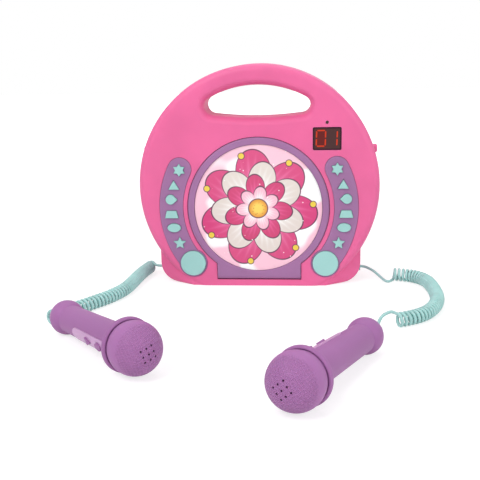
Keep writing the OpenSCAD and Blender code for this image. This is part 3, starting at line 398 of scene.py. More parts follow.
@dataclass(frozen=True)
class MeshDome(Moulded):
    """Moulded plastic with a fine raised net over the dome's nose, with a painted highlight on the wires and painted
    shade between them.

    Attributes:
        holder: Object that holds the microphone's axes.
        centre: Distance of the dome's centre ahead of the collar, in metres.
        radius: Radius of the dome in metres.
        pitch: Distance between the net's rows in metres.
        edge: Angles off the axis between which the net fades in, in radians.
        wire: Heights of a row's wave between which the wire ends.
        depth: Height of the net in metres.
        painted_hollow_shade: Factor on the colour between the wires, a painted shade.
        painted_wire_highlight: Factor on the colour on the wires, a painted highlight.
        pole: What keeps the distance off the axis above zero, in metres.
    """

    holder: bpy.types.Object | None = None
    centre: float = 0.0115
    radius: float = 0.0208
    pitch: float = 0.0025
    edge: tuple[float, float] = (1.35, 1.1)
    wire: tuple[float, float] = (0.1, 0.65)
    depth: float = 0.0004
    painted_hollow_shade: float = 0.98
    painted_wire_highlight: float = 1.2
    pole: float = 0.00001

    def paint(self, graph: Graph) -> bpy.types.Material:
        """Fills the graph with rows and columns that fade out towards the collar, with the wires painted lighter and
        the hollows painted darker as highlight and shade.

        Args:
            graph: Empty graph.

        Returns:
            The finished material.
        """
        ahead, across, up = graph.axes(self.holder)
        off = graph.length(across, up) + self.pole
        angle = graph.math("ARCTAN2", off, ahead - self.centre)
        stretch = angle * self.radius / off * (math.pi / self.pitch)
        rows = abs((across * stretch).sin())
        columns = abs((up * stretch).sin())
        meshed = angle.step(*self.edge)
        net = (1.0 - rows.smaller(columns).step(*self.wire)) * meshed
        plain = 1.0 - meshed
        grain = graph.noise(self.grains)
        # Painted light: the raised wires get a lighter colour as a painted highlight, and the hollows a darker one
        # as painted shade.
        share = net + plain * 0.5 + (grain - 0.5) * 0.06
        return self.plastic(
            graph,
            Base_Color=graph.mix(self.shade(self.painted_hollow_shade), self.shade(self.painted_wire_highlight), share),
            Roughness=self.roughness + (grain - 0.5) * 0.08,
            Normal=graph.relief(net + grain * 0.02, self.depth, self.rounding),
            Coat_Roughness=0.25,
        )


@dataclass(frozen=True)
class SoftCord(Finish):
    """Soft cord jacket with a dull sheen.

    Attributes:
        marks: Extrusion marks to a metre.
        dust: Dusty places to a metre.
        depth: Depth of the marks in metres.
    """

    marks: float = 500
    dust: float = 60
    depth: float = 0.00003

    def paint(self, graph: Graph) -> bpy.types.Material:
        """Fills the graph with faint extrusion marks.

        Args:
            graph: Empty graph.

        Returns:
            The finished material.
        """
        marks, dust = graph.noise(self.marks, 3), graph.noise(self.dust)
        return graph.surface(
            Base_Color=graph.mix(self.shade(0.93), self.shade(1.06), dust.step(0.3, 0.7)),
            Roughness=0.42 + (marks - 0.5) * 0.2,
            Normal=graph.relief(marks, self.depth),
            Coat_Weight=0.08,
            Coat_Roughness=0.3,
            Subsurface_Weight=0.15,
            Subsurface_Radius=(0.001, 0.002, 0.002),
            Subsurface_Scale=0.5,
        )


@dataclass(frozen=True)
class Metal(Finish):
    """Drawn or turned metal.

    Attributes:
        roughness: Mean roughness.
        stretch: How much longer the marks are along X.
        marks: Drawn marks to a metre.
        stains: Dull places to a metre.
    """

    roughness: float = 0.3
    stretch: float = 0.05
    marks: float = 2500
    stains: float = 80

    def paint(self, graph: Graph) -> bpy.types.Material:
        """Fills the graph with drawn marks.

        Args:
            graph: Empty graph.

        Returns:
            The finished material.
        """
        x, y, z = graph.axes()
        marks = graph.noise(self.marks, at=graph.join(x * self.stretch, y, z))
        stain = graph.noise(self.stains)
        return graph.surface(
            Base_Color=graph.mix(self.shade(0.85), self.colour, stain.step(0.3, 0.6)),
            Metallic=1.0,
            Roughness=self.roughness + (marks - 0.5) * 0.25,
            Normal=graph.relief(marks, 0.00001, 0.0002),
        )


@dataclass(frozen=True)
class CircuitBoard(Finish):
    """Green board with tracks and dull solder.

    Attributes:
        solder: Colour of the solder.
        tracks: Turn of the tracks' wave in a metre, in radians.
        bend: How far the tracks wander, in radians.
        pads: Pads to a metre.
    """

    solder: Colour = srgb(196, 198, 200)
    tracks: float = 900
    bend: float = 4.0
    pads: float = 220

    def paint(self, graph: Graph) -> bpy.types.Material:
        """Fills the graph with track lines and pads.

        Args:
            graph: Empty graph.

        Returns:
            The finished material.
        """
        x, _, z = graph.axes()
        bend = graph.noise(90, 1) * self.bend
        along, upward = abs((x * self.tracks + bend).sin()), abs((z * self.tracks + bend * 1.7).sin())
        waves = along.smaller(upward)
        tracks = waves.step(0.25, 0.1)
        pads = graph.spots(graph.place(), self.pads).step(0.16, 0.12)
        return graph.surface(
            Base_Color=graph.mix(graph.mix(self.colour, self.shade(1.8), tracks), self.solder, pads),
            Metallic=pads,
            Roughness=0.45 + waves * 0.1,
            Normal=graph.relief(tracks, 0.00005, 0.0002),
        )


@dataclass(frozen=True)
class TintedLens(Finish):
    """Dark window with a darker rim and a painted red glow, laid into its colour, where the lit figures are.

    Attributes:
        field: Middle of the paler field, as X and Z in metres.
        field_half: Half of the field's width and height in metres.
        glow: Middle of the painted red glow, as X and Z in metres.
        glow_half: Half of its width and height in metres.
        rim: Colour of the rim.
        painted_glow_colour: Colour of the painted red glow.
        shine: Level of the mirror light.
    """

    field: tuple[float, float] = (0.0685, 0.1495)
    field_half: tuple[float, float] = (0.0125, 0.0098)
    glow: tuple[float, float] = (0.0625, 0.1498)
    glow_half: tuple[float, float] = (0.0042, 0.0075)
    rim: Colour = srgb(44, 12, 28)
    painted_glow_colour: Colour = srgb(104, 16, 14)
    shine: float = 0.22

    def paint(self, graph: Graph) -> bpy.types.Material:
        """Fills the graph with the field and the painted glow.

        Args:
            graph: Empty graph.

        Returns:
            The finished material.
        """
        x, _, z = graph.axes()

        def reach(middle: tuple[float, float], half: tuple[float, float]) -> Signal:
            """Returns how far out a point is, 1 on the outline of a box."""
            return (abs(x - middle[0]) / half[0]).larger(abs(z - middle[1]) / half[1])

        inner = reach(self.field, self.field_half).step(1.03, 0.95)
        # Mask of the painted red glow around the lit nought.
        lit = reach(self.glow, self.glow_half).step(1.5, 0.6)
        smear = graph.noise(70)
        glass = graph.mix(self.rim, self.shade(1.1), inner)
        return graph.surface(
            # Painted glow: the lit figures' red light is mixed into the window's colour here.
            Base_Color=graph.mix(glass, self.painted_glow_colour, lit * 0.8),
            Roughness=0.3 + smear * 0.08,
            Normal=graph.relief(smear, 0.00002, 0.0003),
            Specular_IOR_Level=self.shine,
        )


@dataclass(frozen=True)
class CellWrap(Finish):
    """Shrink wrap of a battery cell with a bright band and bare ends.

    Attributes:
        middle: Distance of a cell's middle from the housing's, in metres.
        inner: Where the band begins, from a cell's middle.
        outer: Where the band ends.
        bare: Where the bare metal begins.
        band: Colour of the band.
        metal: Colour of the bare metal.
    """

    middle: float = 0.0259
    inner: tuple[float, float] = (0.0105, 0.0115)
    outer: tuple[float, float] = (0.0235, 0.0225)
    bare: tuple[float, float] = (0.0238, 0.0242)
    band: Colour = srgb(214, 160, 70)
    metal: Colour = srgb(200, 201, 203)

    def paint(self, graph: Graph) -> bpy.types.Material:
        """Fills the graph with bands along the cells.

        Args:
            graph: Empty graph.

        Returns:
            The finished material.
        """
        x, _, _ = graph.axes()
        along = abs(abs(x) - self.middle)
        band = along.step(*self.inner) * along.step(*self.outer)
        ends = along.step(*self.bare)
        return graph.surface(
            Base_Color=graph.mix(graph.mix(self.colour, self.band, band), self.metal, ends),
            Metallic=ends,
            Roughness=0.3 + graph.noise(120) * 0.1,
            Normal=graph.relief(band, 0.00002, 0.0003),
        )


@dataclass(frozen=True)
class PrintedRosette(Finish):
    """Printed picture of a large many-petalled flower on pale paper.

    Attributes:
        height: Height of the picture's centre in metres.
        radius: Radius of the picture in metres.
        petals: Number of petals in a ring.
        heart: Radius of the flower's heart, as a share of the picture's.
        bead: Radius of a bead between the petals' tips.
        beads_out: Distance of the beads from the centre.
        beads_turn: Turn of the beads, as a share of their spacing.
        blush: Colour of the clouds on the paper.
        ink: Colour of the outlines.
        heart_in: Colour in the middle of the heart.
        heart_out: Colour at its edge.
        seed: Colour of its seeds.
        bead_colour: Colour of the beads.
    """

    height: float = 0.0805
    radius: float = 0.064
    petals: int = 7
    heart: float = 0.15
    bead: float = 0.05
    beads_out: float = 0.86
    beads_turn: float = 0.42
    blush: Colour = srgb(250, 200, 217)
    ink: Colour = srgb(92, 45, 76)
    heart_in: Colour = srgb(252, 214, 92)
    heart_out: Colour = srgb(228, 150, 38)
    seed: Colour = srgb(180, 104, 26)
    bead_colour: Colour = srgb(238, 208, 66)

    def rings(self) -> tuple[tuple[float, float, float, Colour, Colour], ...]:
        """Returns each ring's phase, tip, valley, inner colour and outer colour, outermost first."""
        return (
            (0.2, 0.93, 0.62, srgb(240, 125, 176), srgb(214, 62, 124)),
            (0.65, 0.74, 0.48, srgb(255, 255, 253), srgb(226, 216, 208)),
            (0.2, 0.54, 0.32, srgb(236, 96, 158), srgb(206, 52, 112)),
            (0.65, 0.35, 0.22, srgb(255, 255, 255), srgb(247, 190, 208)),
        )

    def paint(self, graph: Graph) -> bpy.types.Material:
        """Fills the graph with the print, from the paper up to the flower's heart and its beads.

        Args:
            graph: Empty graph.

        Returns:
            The finished material.
        """
        x, _, z = graph.axes()
        across = x / self.radius
        up = (z - self.height) / self.radius
        out = graph.length(across, up)
        turn = graph.math("ARCTAN2", up, across)
        layer = graph.mix(self.colour, self.blush, graph.noise(26, 1).step(0.42, 0.5))
        for phase, tip, valley, inner, outer in self.rings():
            swing = abs((turn * (self.petals / 2) + phase * 2).cos())
            edge = valley + (tip - valley) * swing**0.8
            streak = abs((turn * (self.petals * 3) + out * 5.0).sin())
            tone = (out / edge * 1.5 - 0.55 + streak * 0.25).step(0.0, 1.0)
            layer = graph.mix(layer, graph.mix(inner, outer, tone), (edge - out).step(-0.004, 0.004))
            layer = graph.mix(layer, self.ink, abs(edge - out).step(0.014, 0.006))
        heart = graph.mix(self.heart_in, self.heart_out, (out / self.heart).step(0.3, 1.0))
        layer = graph.mix(layer, heart, (out - self.heart).step(0.002, -0.004))
        layer = graph.mix(layer, self.ink, abs(out - self.heart).step(0.012, 0.005))
        seeds = graph.spots(graph.join(across, up, 0.0), 26.0).step(0.22, 0.15)
        layer = graph.mix(layer, self.seed, seeds * out.step(0.13, 0.11))
        specks = graph.spots(graph.join(across, up, 3.0), 9.0).step(0.1, 0.06)
        layer = graph.mix(layer, self.colour, specks * out.step(0.16, 0.2))
        spacing = 2 * math.pi / self.petals
        aside = ((turn / spacing + self.beads_turn).fraction() - 0.5) * spacing * self.beads_out
        from_bead = graph.length(aside, out - self.beads_out)
        layer = graph.mix(layer, self.bead_colour, (from_bead - self.bead).step(0.0, -0.006))
        layer = graph.mix(layer, self.ink, abs(from_bead - self.bead).step(0.009, 0.004))
        return graph.surface(
            Base_Color=layer,
            Roughness=0.3 + graph.noise(300) * 0.06,
            Normal=graph.relief(graph.noise(900, 1), 0.00001, 0.0002),
            Coat_Weight=0.5,
            Coat_Roughness=0.12,
        )


@dataclass(frozen=True)
class LitSegment(Finish):
    """Glowing display segment.

    Attributes:
        power: Strength of its light.
    """

    power: float = 0.5

    def paint(self, graph: Graph) -> bpy.types.Material:
        """Fills the graph with an uneven glow.

        Args:
            graph: Empty graph.

        Returns:
            The finished material.
        """
        uneven = graph.noise(900, 1)
        return graph.surface(
            Base_Color=self.shade(0.2),
            Roughness=0.5,
            Specular_IOR_Level=0.2,
            Emission_Color=graph.mix(self.shade(0.8), self.colour, uneven),
            Emission_Strength=self.power,
        )


class Palette(Enum):
    """The object's finishes that don't depend on a place."""

    SHELL = Moulded("pink_shell", srgb(230, 105, 157), roughness=0.5, coat=0.03, shine=0.32)
    TRIM = Moulded("purple_trim", srgb(160, 114, 159), roughness=0.52, coat=0.03, shine=0.28)
    MICROPHONE = Moulded("purple_microphone", srgb(161, 107, 161), roughness=0.55, coat=0.02, shine=0.22)
    KEY = Moulded("teal_key", srgb(158, 210, 205), roughness=0.42, rounding=0.0007)
    PLATE = Moulded("lilac_plate", srgb(196, 146, 195), roughness=0.36)
    INNER = Moulded("dark_inner", srgb(40, 34, 40), roughness=0.5, glow=0.0)
    NYLON = Moulded("nylon", srgb(236, 235, 228), roughness=0.45)
    RUBBER = Moulded("rubber", srgb(34, 32, 34), roughness=0.7, coat=0.0, glow=0.0)
    STEEL = Metal("steel", srgb(184, 186, 190))
    BRASS = Metal("brass", srgb(206, 170, 92), roughness=0.25)
    BOARD = CircuitBoard("board", srgb(30, 96, 58))
    LENS = TintedLens("lens", srgb(66, 38, 38))
    LAMP = Moulded("lamp_cap", srgb(58, 14, 24), roughness=0.3, glow=0.0)
    CELL = CellWrap("cell_wrap", srgb(52, 56, 66))
    PICTURE = PrintedRosette("picture", srgb(255, 255, 255))
    CORD = SoftCord("cord", srgb(161, 205, 202))
    DIGIT = LitSegment("digit", srgb(255, 72, 34))


class Wardrobe:
    """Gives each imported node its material."""

    NODES: dict[Palette, str] = {
        Palette.SHELL: "front_shell rear_shell battery_door",
        Palette.TRIM: "left_panel right_panel lid_frame",
        Palette.INNER: "disc_well speakers pickup_sled power_socket",
        Palette.NYLON: "turntable sled_gear",
        Palette.RUBBER: "drive_dampers",
        Palette.STEEL: "battery_contacts door_screw drive_chassis spindle_motor guide_rods sled_motor "
        "case_screws",
        Palette.BRASS: "motor_pinion",
        Palette.BOARD: "display_module main_board key_boards",
        Palette.LENS: "display_window",
        Palette.CELL: "battery_cells",
        Palette.PICTURE: "lid_picture",
        Palette.CORD: "cord_bushings",
    }
    SIDE_NODES: dict[Palette, str] = {
        Palette.KEY: "star6_key triangle_key drop_key wedge_key oval_key star5_key round_button",
        Palette.MICROPHONE: "mic_handle mic_triangle_key mic_oval_key",
        Palette.PLATE: "mic_plate",
        Palette.INNER: "mic_capsule",
    }

    def __init__(self) -> None:
        """Starts with no material made."""
        self.made: dict[Palette, bpy.types.Material] = {}

    def cloth(self, paint: Palette) -> bpy.types.Material:
        """Gives a palette's material, made once.

        Args:
            paint: Entry of the palette.

        Returns:
            The material.
        """
        if paint not in self.made:
            self.made[paint] = paint.value.make()
        return self.made[paint]

    def dress(self, obj: bpy.types.Object, material: bpy.types.Material) -> None:
        """Puts a material on every slot of an object and reports it.

        Args:
            obj: The object.
            material: Its new material.
        """
        if not obj.material_slots:
            obj.data.materials.append(material)
        for slot in obj.material_slots:
            slot.material = material
        log.info("%s dressed in %s", obj.name, material.name)

    def dress_frame(self) -> None:
        """Dresses all nodes that a palette's entry names."""
        for paint, names in self.NODES.items():
            for name in names.split():
                self.dress(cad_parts[name], self.cloth(paint))
        for paint, names in self.SIDE_NODES.items():
            for name in names.split():
                for side in SIDES:
                    self.dress(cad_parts[f"{side}_{name}"], self.cloth(paint))


def ring_angles(count: int) -> list[float]:
    """Returns the angles of a ring's points in radians."""
    return [2 * math.pi * i / count for i in range(count)]


@dataclass
class Cord:
    """A cord from the housing to a microphone, curly between two plain ends.

    Attributes:
        side: Side of the housing that it leaves.
        route: Way of the curly part on the table, in millimetres.
        start: Angle where the curls begin, in degrees.
        lead: Plain points before the curls, in millimetres.
        tail: Plain points after the curls, in millimetres.
        curls: Number of curls.
        diameter: Diameter of the cord in millimetres.
        coil: Outer diameter of the curly part in millimetres.
        turn_points: Number of points in a curl.
        sides: Number of the cord's sides.
        probe: How far to either side the route's way is taken, in stretches.
        points: Its middle line in metres, once laid.
    """

    side: str
    route: list[tuple[float, float]]
    start: float
    lead: list[tuple[float, float, float]]
    tail: list[tuple[float, float, float]]
    curls: float = 43.5
    diameter: float = 2.8
    coil: float = 13.5
    turn_points: int = 16
    sides: int = 10
    probe: float = 0.02
    points: list[Vector] = field(default_factory=list)

    def route_at(self, s: float) -> Vector:
        """Gives a point of the smooth route.

        Args:
            s: Place along it, counted in stretches.

        Returns:
            The point on the table, in millimetres.
        """
        last = len(self.route) - 1
        i = min(int(s), last - 1)
        t = s - i
        b, c = Vector(self.route[i]), Vector(self.route[i + 1])
        a = 2 * b - c if i == 0 else Vector(self.route[i - 1])
        d = 2 * c - b if i == last - 1 else Vector(self.route[i + 2])
        return (
            (1 - t) ** 3 * a
            + (3 * t**3 - 6 * t * t + 4) * b
            + (-3 * t**3 + 3 * t * t + 3 * t + 1) * c
            + t**3 * d
        ) / 6

    def curl_at(self, curls: float) -> Vector:
        """Gives a point of the curly part.

        Args:
            curls: Curls since its start.

        Returns:
            The point in millimetres.
        """
        last = len(self.route) - 1
        s = curls / self.curls * last
        ahead, behind = self.route_at(min(s + self.probe, last)), self.route_at(max(s - self.probe, 0))
        way = (ahead - behind).normalized()
        angle = math.radians(self.start + 360 * curls)
        radius = (self.coil - self.diameter) / 2
        here = self.route_at(s) + radius * math.cos(angle) * Vector((-way.y, way.x))
        return Vector((here.x, here.y, self.coil / 2 + radius * math.sin(angle)))

    def smoothed(self, points: list[Vector], steps: int = 6) -> list[Vector]:
        """Runs a smooth line through points.

        Args:
            points: Points in order.
            steps: Pieces between two points.

        Returns:
            The finer line.
        """
        line = []
        for i in range(len(points) - 1):
            b, c = points[i], points[i + 1]
            a = points[i - 1] if i else 2 * b - c
            d = points[i + 2] if i + 2 < len(points) else 2 * c - b
            for step in range(steps):
                t = step / steps
                bend = (2 * a - 5 * b + 4 * c - d) * t * t + (3 * b - a - 3 * c + d) * t**3
                line.append(0.5 * (2 * b + (c - a) * t + bend))
        return line + [points[-1]]

    def lay(self) -> None:
        """Fills the cord's middle line in metres."""
        steps = round(self.curls * self.turn_points)
        curly = [self.curl_at(self.curls * i / steps) for i in range(steps + 1)]
        bit = 0.01
        first = curly[0] + self.diameter * (curly[0] - self.curl_at(bit)).normalized()
        last = curly[-1] + self.diameter * (curly[-1] - self.curl_at(self.curls - bit)).normalized()
        lead = self.smoothed([Vector(p) for p in self.lead] + [first, curly[0]])
        tail = self.smoothed([curly[-1], last] + [Vector(p) for p in self.tail])
        low = self.diameter / 2
        self.points = [Vector((p.x, p.y, max(p.z, low))) * MM for p in lead[:-1] + curly + tail[1:]]

    def length(self) -> float:
        """Returns the cord's whole length in metres."""
        return sum((b - a).length for a, b in zip(self.points, self.points[1:]))

    def build(self, material: bpy.types.Material) -> bpy.types.Object:
        """Makes the cord, in place of its solids, bending on towards its microphone.

        Args:
            material: The cord's material.

        Returns:
            The cord.
        """
        self.lay()
        mesh = bmesh.new()
        side = Vector((0, 0, 1))
        radius = self.diameter / 2 * MM
        rings = []
        last = len(self.points) - 1
        for i, point in enumerate(self.points):
            way = (self.points[min(i + 1, last)] - self.points[max(i - 1, 0)]).normalized()
            side = (side - side.dot(way) * way).normalized()
            other = way.cross(side)
            spokes = [side * math.cos(a) + other * math.sin(a) for a in ring_angles(self.sides)]
            rings.append([mesh.verts.new(point + radius * spoke) for spoke in spokes])
        for low, high in zip(rings, rings[1:]):
            for i in range(self.sides):
                mesh.faces.new((low[i - 1], low[i], high[i], high[i - 1]))
        mesh.faces.new(rings[0][::-1])
        mesh.faces.new(rings[-1])
        cord = finish_mesh(f"{self.side}_cord", mesh, material)
        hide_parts(*(f"{self.side}_cord_{part}" for part in ("lead", "coil", "tail")))
        tuple(self.points[0])
        self.length()
        [tuple(p) for p in self.points]
        tuple(self.points[len(self.points) // 2])
        tuple(self.points[-1])
        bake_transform(cord)
        log.info("%s cord is %.3f m long", self.side, self.length())
        return cord


def finish_mesh(
    name: str, mesh: bmesh.types.BMesh, material: bpy.types.Material, smooth: bool = True
) -> bpy.types.Object:
    """Turns mesh data into an object in the scene.

    Args:
        name: Name of the object.
        mesh: Its mesh, which is freed.
        material: Its material.
        smooth: Whether it is shaded smooth.

    Returns:
        The object.
    """
    for face in mesh.faces:
        face.smooth = smooth
    data = bpy.data.meshes.new(name)
    mesh.to_mesh(data)
    mesh.free()
    obj = bpy.data.objects.new(name, data)
    bpy.context.scene.collection.objects.link(obj)
    obj.data.materials.append(material)
    return obj


@dataclass
class Digits:
    """Lit segments of the display.

    Attributes:
        front: Depth of the window's front, in millimetres.
        stroke: Width of a segment in millimetres.
        slant: How far the figures lean to the right, as a share of their height.
        left: X of the nought's left side.
        right: X of its right side.
        one: X of the one.
        low: Z of the figures' foot.
        middle: Z of their middle.
        high: Z of their head.
        gap: Room between two segments at a corner.
        sunk: How far they reach into the window.
        proud: How far they stand out of it.
    """

    front: float = -37.7
    stroke: float = 1.3
    slant: float = 0.035
    left: float = 58.1
    right: float = 66.8
    one: float = 78.1
    low: float = 142.2
    middle: float = 149.8
    high: float = 157.4
    gap: float = 0.5
    sunk: float = 0.2
    proud: float = 0.05

    def segment(self, mesh: bmesh.types.BMesh, a: tuple[float, float], b: tuple[float, float]) -> None:
        """Adds one segment with pointed ends.

        Args:
            mesh: Mesh that takes it.
            a: One end, as X and Z in millimetres.
            b: Other end.
        """
        start, end = (Vector((x + self.slant * (z - self.middle), 0, z)) for x, z in (a, b))
        way = (end - start).normalized()
        side = Vector((-way.z, 0, way.x)) * self.stroke / 2
        inset = way * self.stroke / 2
        near, far = start + inset, end - inset
        outline = [start, near + side, far + side, end, far - side, near - side]
        low, high = (
            [mesh.verts.new((p + Vector((0, self.front + y, 0))) * MM) for p in outline]
            for y in (self.sunk, -self.proud)
        )
        mesh.faces.new(high)
        for i in range(len(outline)):
            mesh.faces.new((low[i - 1], low[i], high[i], high[i - 1]))

    def build(self, material: bpy.types.Material) -> bpy.types.Object:
        """Makes the number on the display.

        Args:
            material: Its material.

        Returns:
            The segments as one object.
        """
        mesh = bmesh.new()
        for z in (self.high, self.low):
            self.segment(mesh, (self.left + self.gap, z), (self.right - self.gap, z))
        for x in (self.left, self.right, self.one):
            self.segment(mesh, (x, self.low + self.gap), (x, self.middle - self.gap))
            self.segment(mesh, (x, self.middle + self.gap), (x, self.high - self.gap))
        digits = finish_mesh("display_digits", mesh, material, smooth=False)
        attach(digits, "housing")
        log.info("%s built", digits.name)
        return digits


@dataclass
class TurnedPiece:
    """A small round piece of the housing about an axis along Y.

    Attributes:
        name: Name of the piece.
        paint: Its finish.
        slot: Name of a material slot; not used.
        at: X and Z of its axis in millimetres.
        outline: Radius and Y in millimetres from one end to the other, both on the axis.
        sides: Number of its sides.
    """

    name: str
    paint: Palette
    slot: str
    at: tuple[float, float]
    outline: Sequence[tuple[float, float]]
    sides: int = 32

    def ring(self, mesh: bmesh.types.BMesh, radius: float, y: float) -> list[bmesh.types.BMVert]:
        """Adds one ring of points.

        Args:
            mesh: Mesh that takes it.
            radius: Radius in millimetres.
            y: Its place along the axis in millimetres.

        Returns:
            The points in order.
        """
        x, z = self.at
        spokes = [Vector((math.cos(a), 0, math.sin(a))) for a in ring_angles(self.sides)]
        return [mesh.verts.new((Vector((x, y, z)) + radius * spoke) * MM) for spoke in spokes]

    def build(self, wardrobe: Wardrobe) -> bpy.types.Object:
        """Makes the piece.

        Args:
            wardrobe: What holds the materials.

        Returns:
            The piece.
        """
        mesh = bmesh.new()
        rings = [self.ring(mesh, radius, y) for radius, y in self.outline[1:-1]]
        x, z = self.at
        ends = [mesh.verts.new(Vector((x, y, z)) * MM) for _, y in (self.outline[0], self.outline[-1])]
        for i in range(self.sides):
            mesh.faces.new((ends[0], rings[0][i - 1], rings[0][i]))
            mesh.faces.new((ends[1], rings[-1][i], rings[-1][i - 1]))
            for low, high in zip(rings, rings[1:]):
                mesh.faces.new((low[i - 1], high[i - 1], high[i], low[i]))
        bmesh.ops.recalc_face_normals(mesh, faces=mesh.faces)
        piece = finish_mesh(self.name, mesh, wardrobe.cloth(self.paint))
        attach(piece, "housing")
        log.info("%s built", self.name)
        return piece


@dataclass
class Microphone:
    """A microphone's own axes and its net dome.

    Attributes:
        side: Side of its cord.
        at: Place of its collar on the table, in millimetres.
        turn: Turn about the upright, in degrees.
        roll: Turn about its handle, in degrees.
        collar: Radius of its collar in millimetres.
        tail: Radius of its tail in millimetres.
        length: Distance from its collar to its tail's centre in millimetres.
        approach: Distances from its tail's pole of its cord's last two points, in millimetres.
    """

    side: str
    at: tuple[float, float]
    turn: float
    roll: float
    collar: float = 21.5
    tail: float = 14.8
    length: float = 109.0
    approach: tuple[float, float] = (3, 0.3)

    def tilt(self) -> float:
        """Returns how steeply its handle lies on the table, in radians."""
        return math.asin((self.collar - self.tail) / self.length)

    def tail_points(self) -> list[tuple[float, float, float]]:
        """Gives its cord's last two points, at the pole of its tail.

        Returns:
            The points in millimetres.
        """
        tilt, turn = self.tilt(), math.radians(self.turn)
        way = Vector((math.cos(tilt) * math.cos(turn), math.cos(tilt) * math.sin(turn), math.sin(tilt)))
        collar = Vector((*self.at, self.collar))
        return [tuple(collar - way * (self.length + self.tail + out)) for out in self.approach]

    def dress(self, wardrobe: Wardrobe) -> None:
        """Sets the axes and dresses the dome.

        Args:
            wardrobe: What dresses objects.
        """
        axes = bpy.data.objects.new(f"{self.side}_mic_axes", None)
        bpy.context.scene.collection.objects.link(axes)
        axes.matrix_world = (
            Matrix.Translation(Vector((*self.at, self.collar)) * MM)
            @ Matrix.Rotation(math.radians(self.turn), 4, "Z")
            @ Matrix.Rotation(-self.tilt(), 4, "Y")
            @ Matrix.Rotation(math.radians(self.roll), 4, "X")
        )
        axes.empty_display_size = 0.01
        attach(axes, f"{self.side}_mic")
        trim = Palette.MICROPHONE.value
        dome = MeshDome(
            f"{self.side}_dome", trim.colour, trim.roughness, coat=trim.coat, shine=trim.shine, holder=axes
        )
        wardrobe.dress(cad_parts[f"{self.side}_mic_head"], dome.make())


@dataclass
class Studio:
    """Camera, floor and light.

    Attributes:
        eye: Place of the camera in metres.
        pitch: How far it looks down, in degrees.
        yaw: How far it looks to the left, in degrees.
        roll: How far it is turned about its view, in degrees.
        focal: Focal length in pixels of the picture.
        picture: Width of the picture in pixels.
        table: Half of the table's width in metres.
        table_white: Level of the table's white for the light that it throws back.
        table_seen: Level of its white where the camera looks.
        table_light: Own light of the table where it is looked at, near the object.
        far_light: What is added to it further out.
        table_fade: Distances between which that is added, in metres.
        lamps: Name, place in metres, width in metres and power in watts of each lamp.
        aim: Point that the lamps look at, in metres.
        sky_light: Level of the even light from around.
    """

    eye: tuple[float, float, float] = (0.0532, -0.8288, 0.2335)
    pitch: float = 13.15
    yaw: float = 5.21
    roll: float = -1.19
    focal: float = 804.7
    picture: int = 480
    table: float = 4
    table_white: float = 0.94
    table_seen: float = 0.4
    table_light: float = 0.72
    far_light: float = 0.4
    table_fade: tuple[float, float] = (0.3, 1.2)
    lamps: tuple[tuple[str, tuple[float, float, float], float, float], ...] = (
        ("key", (-0.7, -1.1, 1.3), 0.9, 15),
        ("fill", (1.1, -0.9, 0.7), 1.0, 6.5),
        ("top", (0.0, 0.3, 1.5), 1.2, 6),
    )
    aim: tuple[float, float, float] = (0, -0.1, 0.08)
    sky_light: float = 0.4

    def camera(self) -> None:
        """Sets the camera as the photograph was taken."""
        data = bpy.data.cameras.new("camera")
        data.lens = self.focal / self.picture * data.sensor_width
        data.clip_start = 0.01
        obj = bpy.data.objects.new("camera", data)
        obj.matrix_world = (
            Matrix.Translation(Vector(self.eye))
            @ Matrix.Rotation(math.radians(self.yaw), 4, "Z")
            @ Matrix.Rotation(math.radians(90 - self.pitch), 4, "X")
            @ Matrix.Rotation(math.radians(self.roll), 4, "Z")
        )
        bpy.context.scene.collection.objects.link(obj)
        bpy.context.scene.camera = obj

    def floor(self) -> None:
        """Lays the pale table, which looks white but keeps the object's shadow."""
        mesh = bmesh.new()
        bmesh.ops.create_grid(mesh, x_segments=1, y_segments=1, size=self.table)
        graph = Graph("floor")
        seen = graph.seen()
        x, y, _ = graph.axes()
        far = graph.length(x, y).step(*self.table_fade)
        paint = graph.surface(
            Base_Color=graph.mix((self.table_white,) * 3, (self.table_seen,) * 3, seen),
            Roughness=0.9,
            Emission_Color=(1.0, 1.0, 1.0),
            Emission_Strength=seen * (self.table_light + far * self.far_light),
        )
        finish_mesh("floor", mesh, paint)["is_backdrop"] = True

    def lamp(self, name: str, at: tuple[float, float, float], size: float, power: float) -> None:
        """Adds a soft lamp that looks at the object.

        Args:
            name: Name of the lamp.
            at: Its place in metres.
            size: Its width in metres.
            power: Its power in watts.
        """
        data = bpy.data.lights.new(name, "AREA")
        data.shape = "DISK"
        data.size = size
        data.energy = power
        obj = bpy.data.objects.new(name, data)
        obj.location = at
        obj.rotation_euler = (Vector(self.aim) - Vector(at)).to_track_quat("-Z", "Y").to_euler()
        bpy.context.scene.collection.objects.link(obj)

    def sky(self) -> None:
        """Sets the surroundings' even light and the white that shows behind the object."""
        graph = Graph("sky", "worlds")
        strength = self.sky_light + graph.seen() * (1.0 - self.sky_light)
        back = graph.node("ShaderNodeBackground", {"Color": (1.0, 1.0, 1.0), "Strength": strength})
        graph.node("ShaderNodeOutputWorld", {"Surface": back.outputs[0]})
        bpy.context.scene.world = graph.data

    def set_up(self) -> None:
        """Sets everything that isn't part of the object."""
        self.camera()
        self.floor()
        for name, at, size, power in self.lamps:
            self.lamp(name, at, size, power)
        self.sky()
        bpy.context.scene.view_settings.view_transform = "Standard"


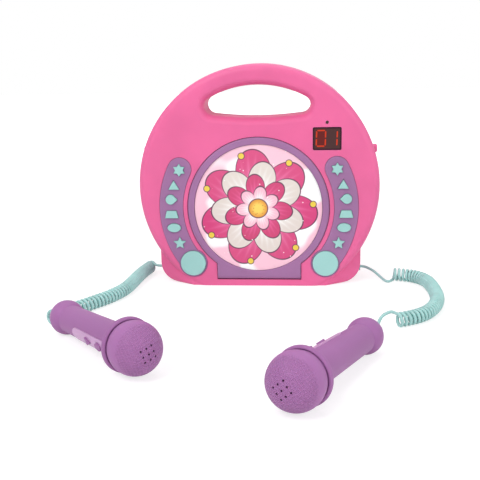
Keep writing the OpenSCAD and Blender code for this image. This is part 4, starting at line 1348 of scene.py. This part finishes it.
CORDS = (
    Cord(
        side="left",
        route=[(-122, 10), (-125, -6), (-127, -23), (-128, -41), (-129, -59), (-131, -77),
               (-137, -95), (-146, -112), (-157, -129), (-168, -146), (-178, -163)],
        start=90,
        lead=[(-104, -5, 12), (-106, -5, 12), (-110, -4, 12), (-114, -1, 12)],
        tail=[(-170, -170, 7), (-168, -173, 11)],
    ),
    Cord(
        side="right",
        route=[(137, -17), (155, -21), (167, -35), (170, -53), (171, -71), (171, -89),
               (169, -107), (164, -124), (156, -141), (144, -154), (127, -163)],
        start=-90,
        lead=[(104, -5, 12), (106, -5, 12), (111, -6, 11), (118, -10, 8), (124, -16, 4), (128, -23, 2),
              (132, -25, 1.4)],
        tail=[(121, -157, 12), (114, -160, 9), (110, -168, 5), (107, -180, 3), (105, -192, 5),
              (103, -204, 10)],
    ),
)
TURNED_PIECES = (
    TurnedPiece(
        name="lamp_cap",
        paint=Palette.LAMP,
        slot="display_lens",
        at=(68.49, 165.37),
        outline=((0, -38.0), (0.6, -37.98), (1.1, -37.92), (1.4, -37.8), (1.4, -37.3), (0, -37.3)),
    ),
    TurnedPiece(
        name="socket_pin",
        paint=Palette.STEEL,
        slot="steel",
        at=(-82.23, 44),
        outline=((0, 34.6), (0.4, 34.5), (0.62, 34.2), (0.65, 33.8), (0.65, 27.8), (0, 27.8)),
    ),
)
MICROPHONES = (
    Microphone("left", (-84, -269), -49, 108),
    Microphone("right", (48, -324), -115.5, 40),
)


def main() -> None:
    """Builds the scene in order."""
    logging.basicConfig(level=logging.INFO)
    Studio().set_up()
    wardrobe = Wardrobe()
    for cord, mic in zip(CORDS, MICROPHONES):
        cord.tail = cord.tail + mic.tail_points()
        cord.build(wardrobe.cloth(Palette.CORD))
    wardrobe.dress_frame()
    for mic in MICROPHONES:
        mic.dress(wardrobe)
    Digits().build(wardrobe.cloth(Palette.DIGIT))
    for piece in TURNED_PIECES:
        piece.build(wardrobe)
    boxes = {name: [list(corner) for corner in box] for name, box in (("cad", CAD_BOX), ("visual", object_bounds()))}


if __name__ == "__main__":
    main()
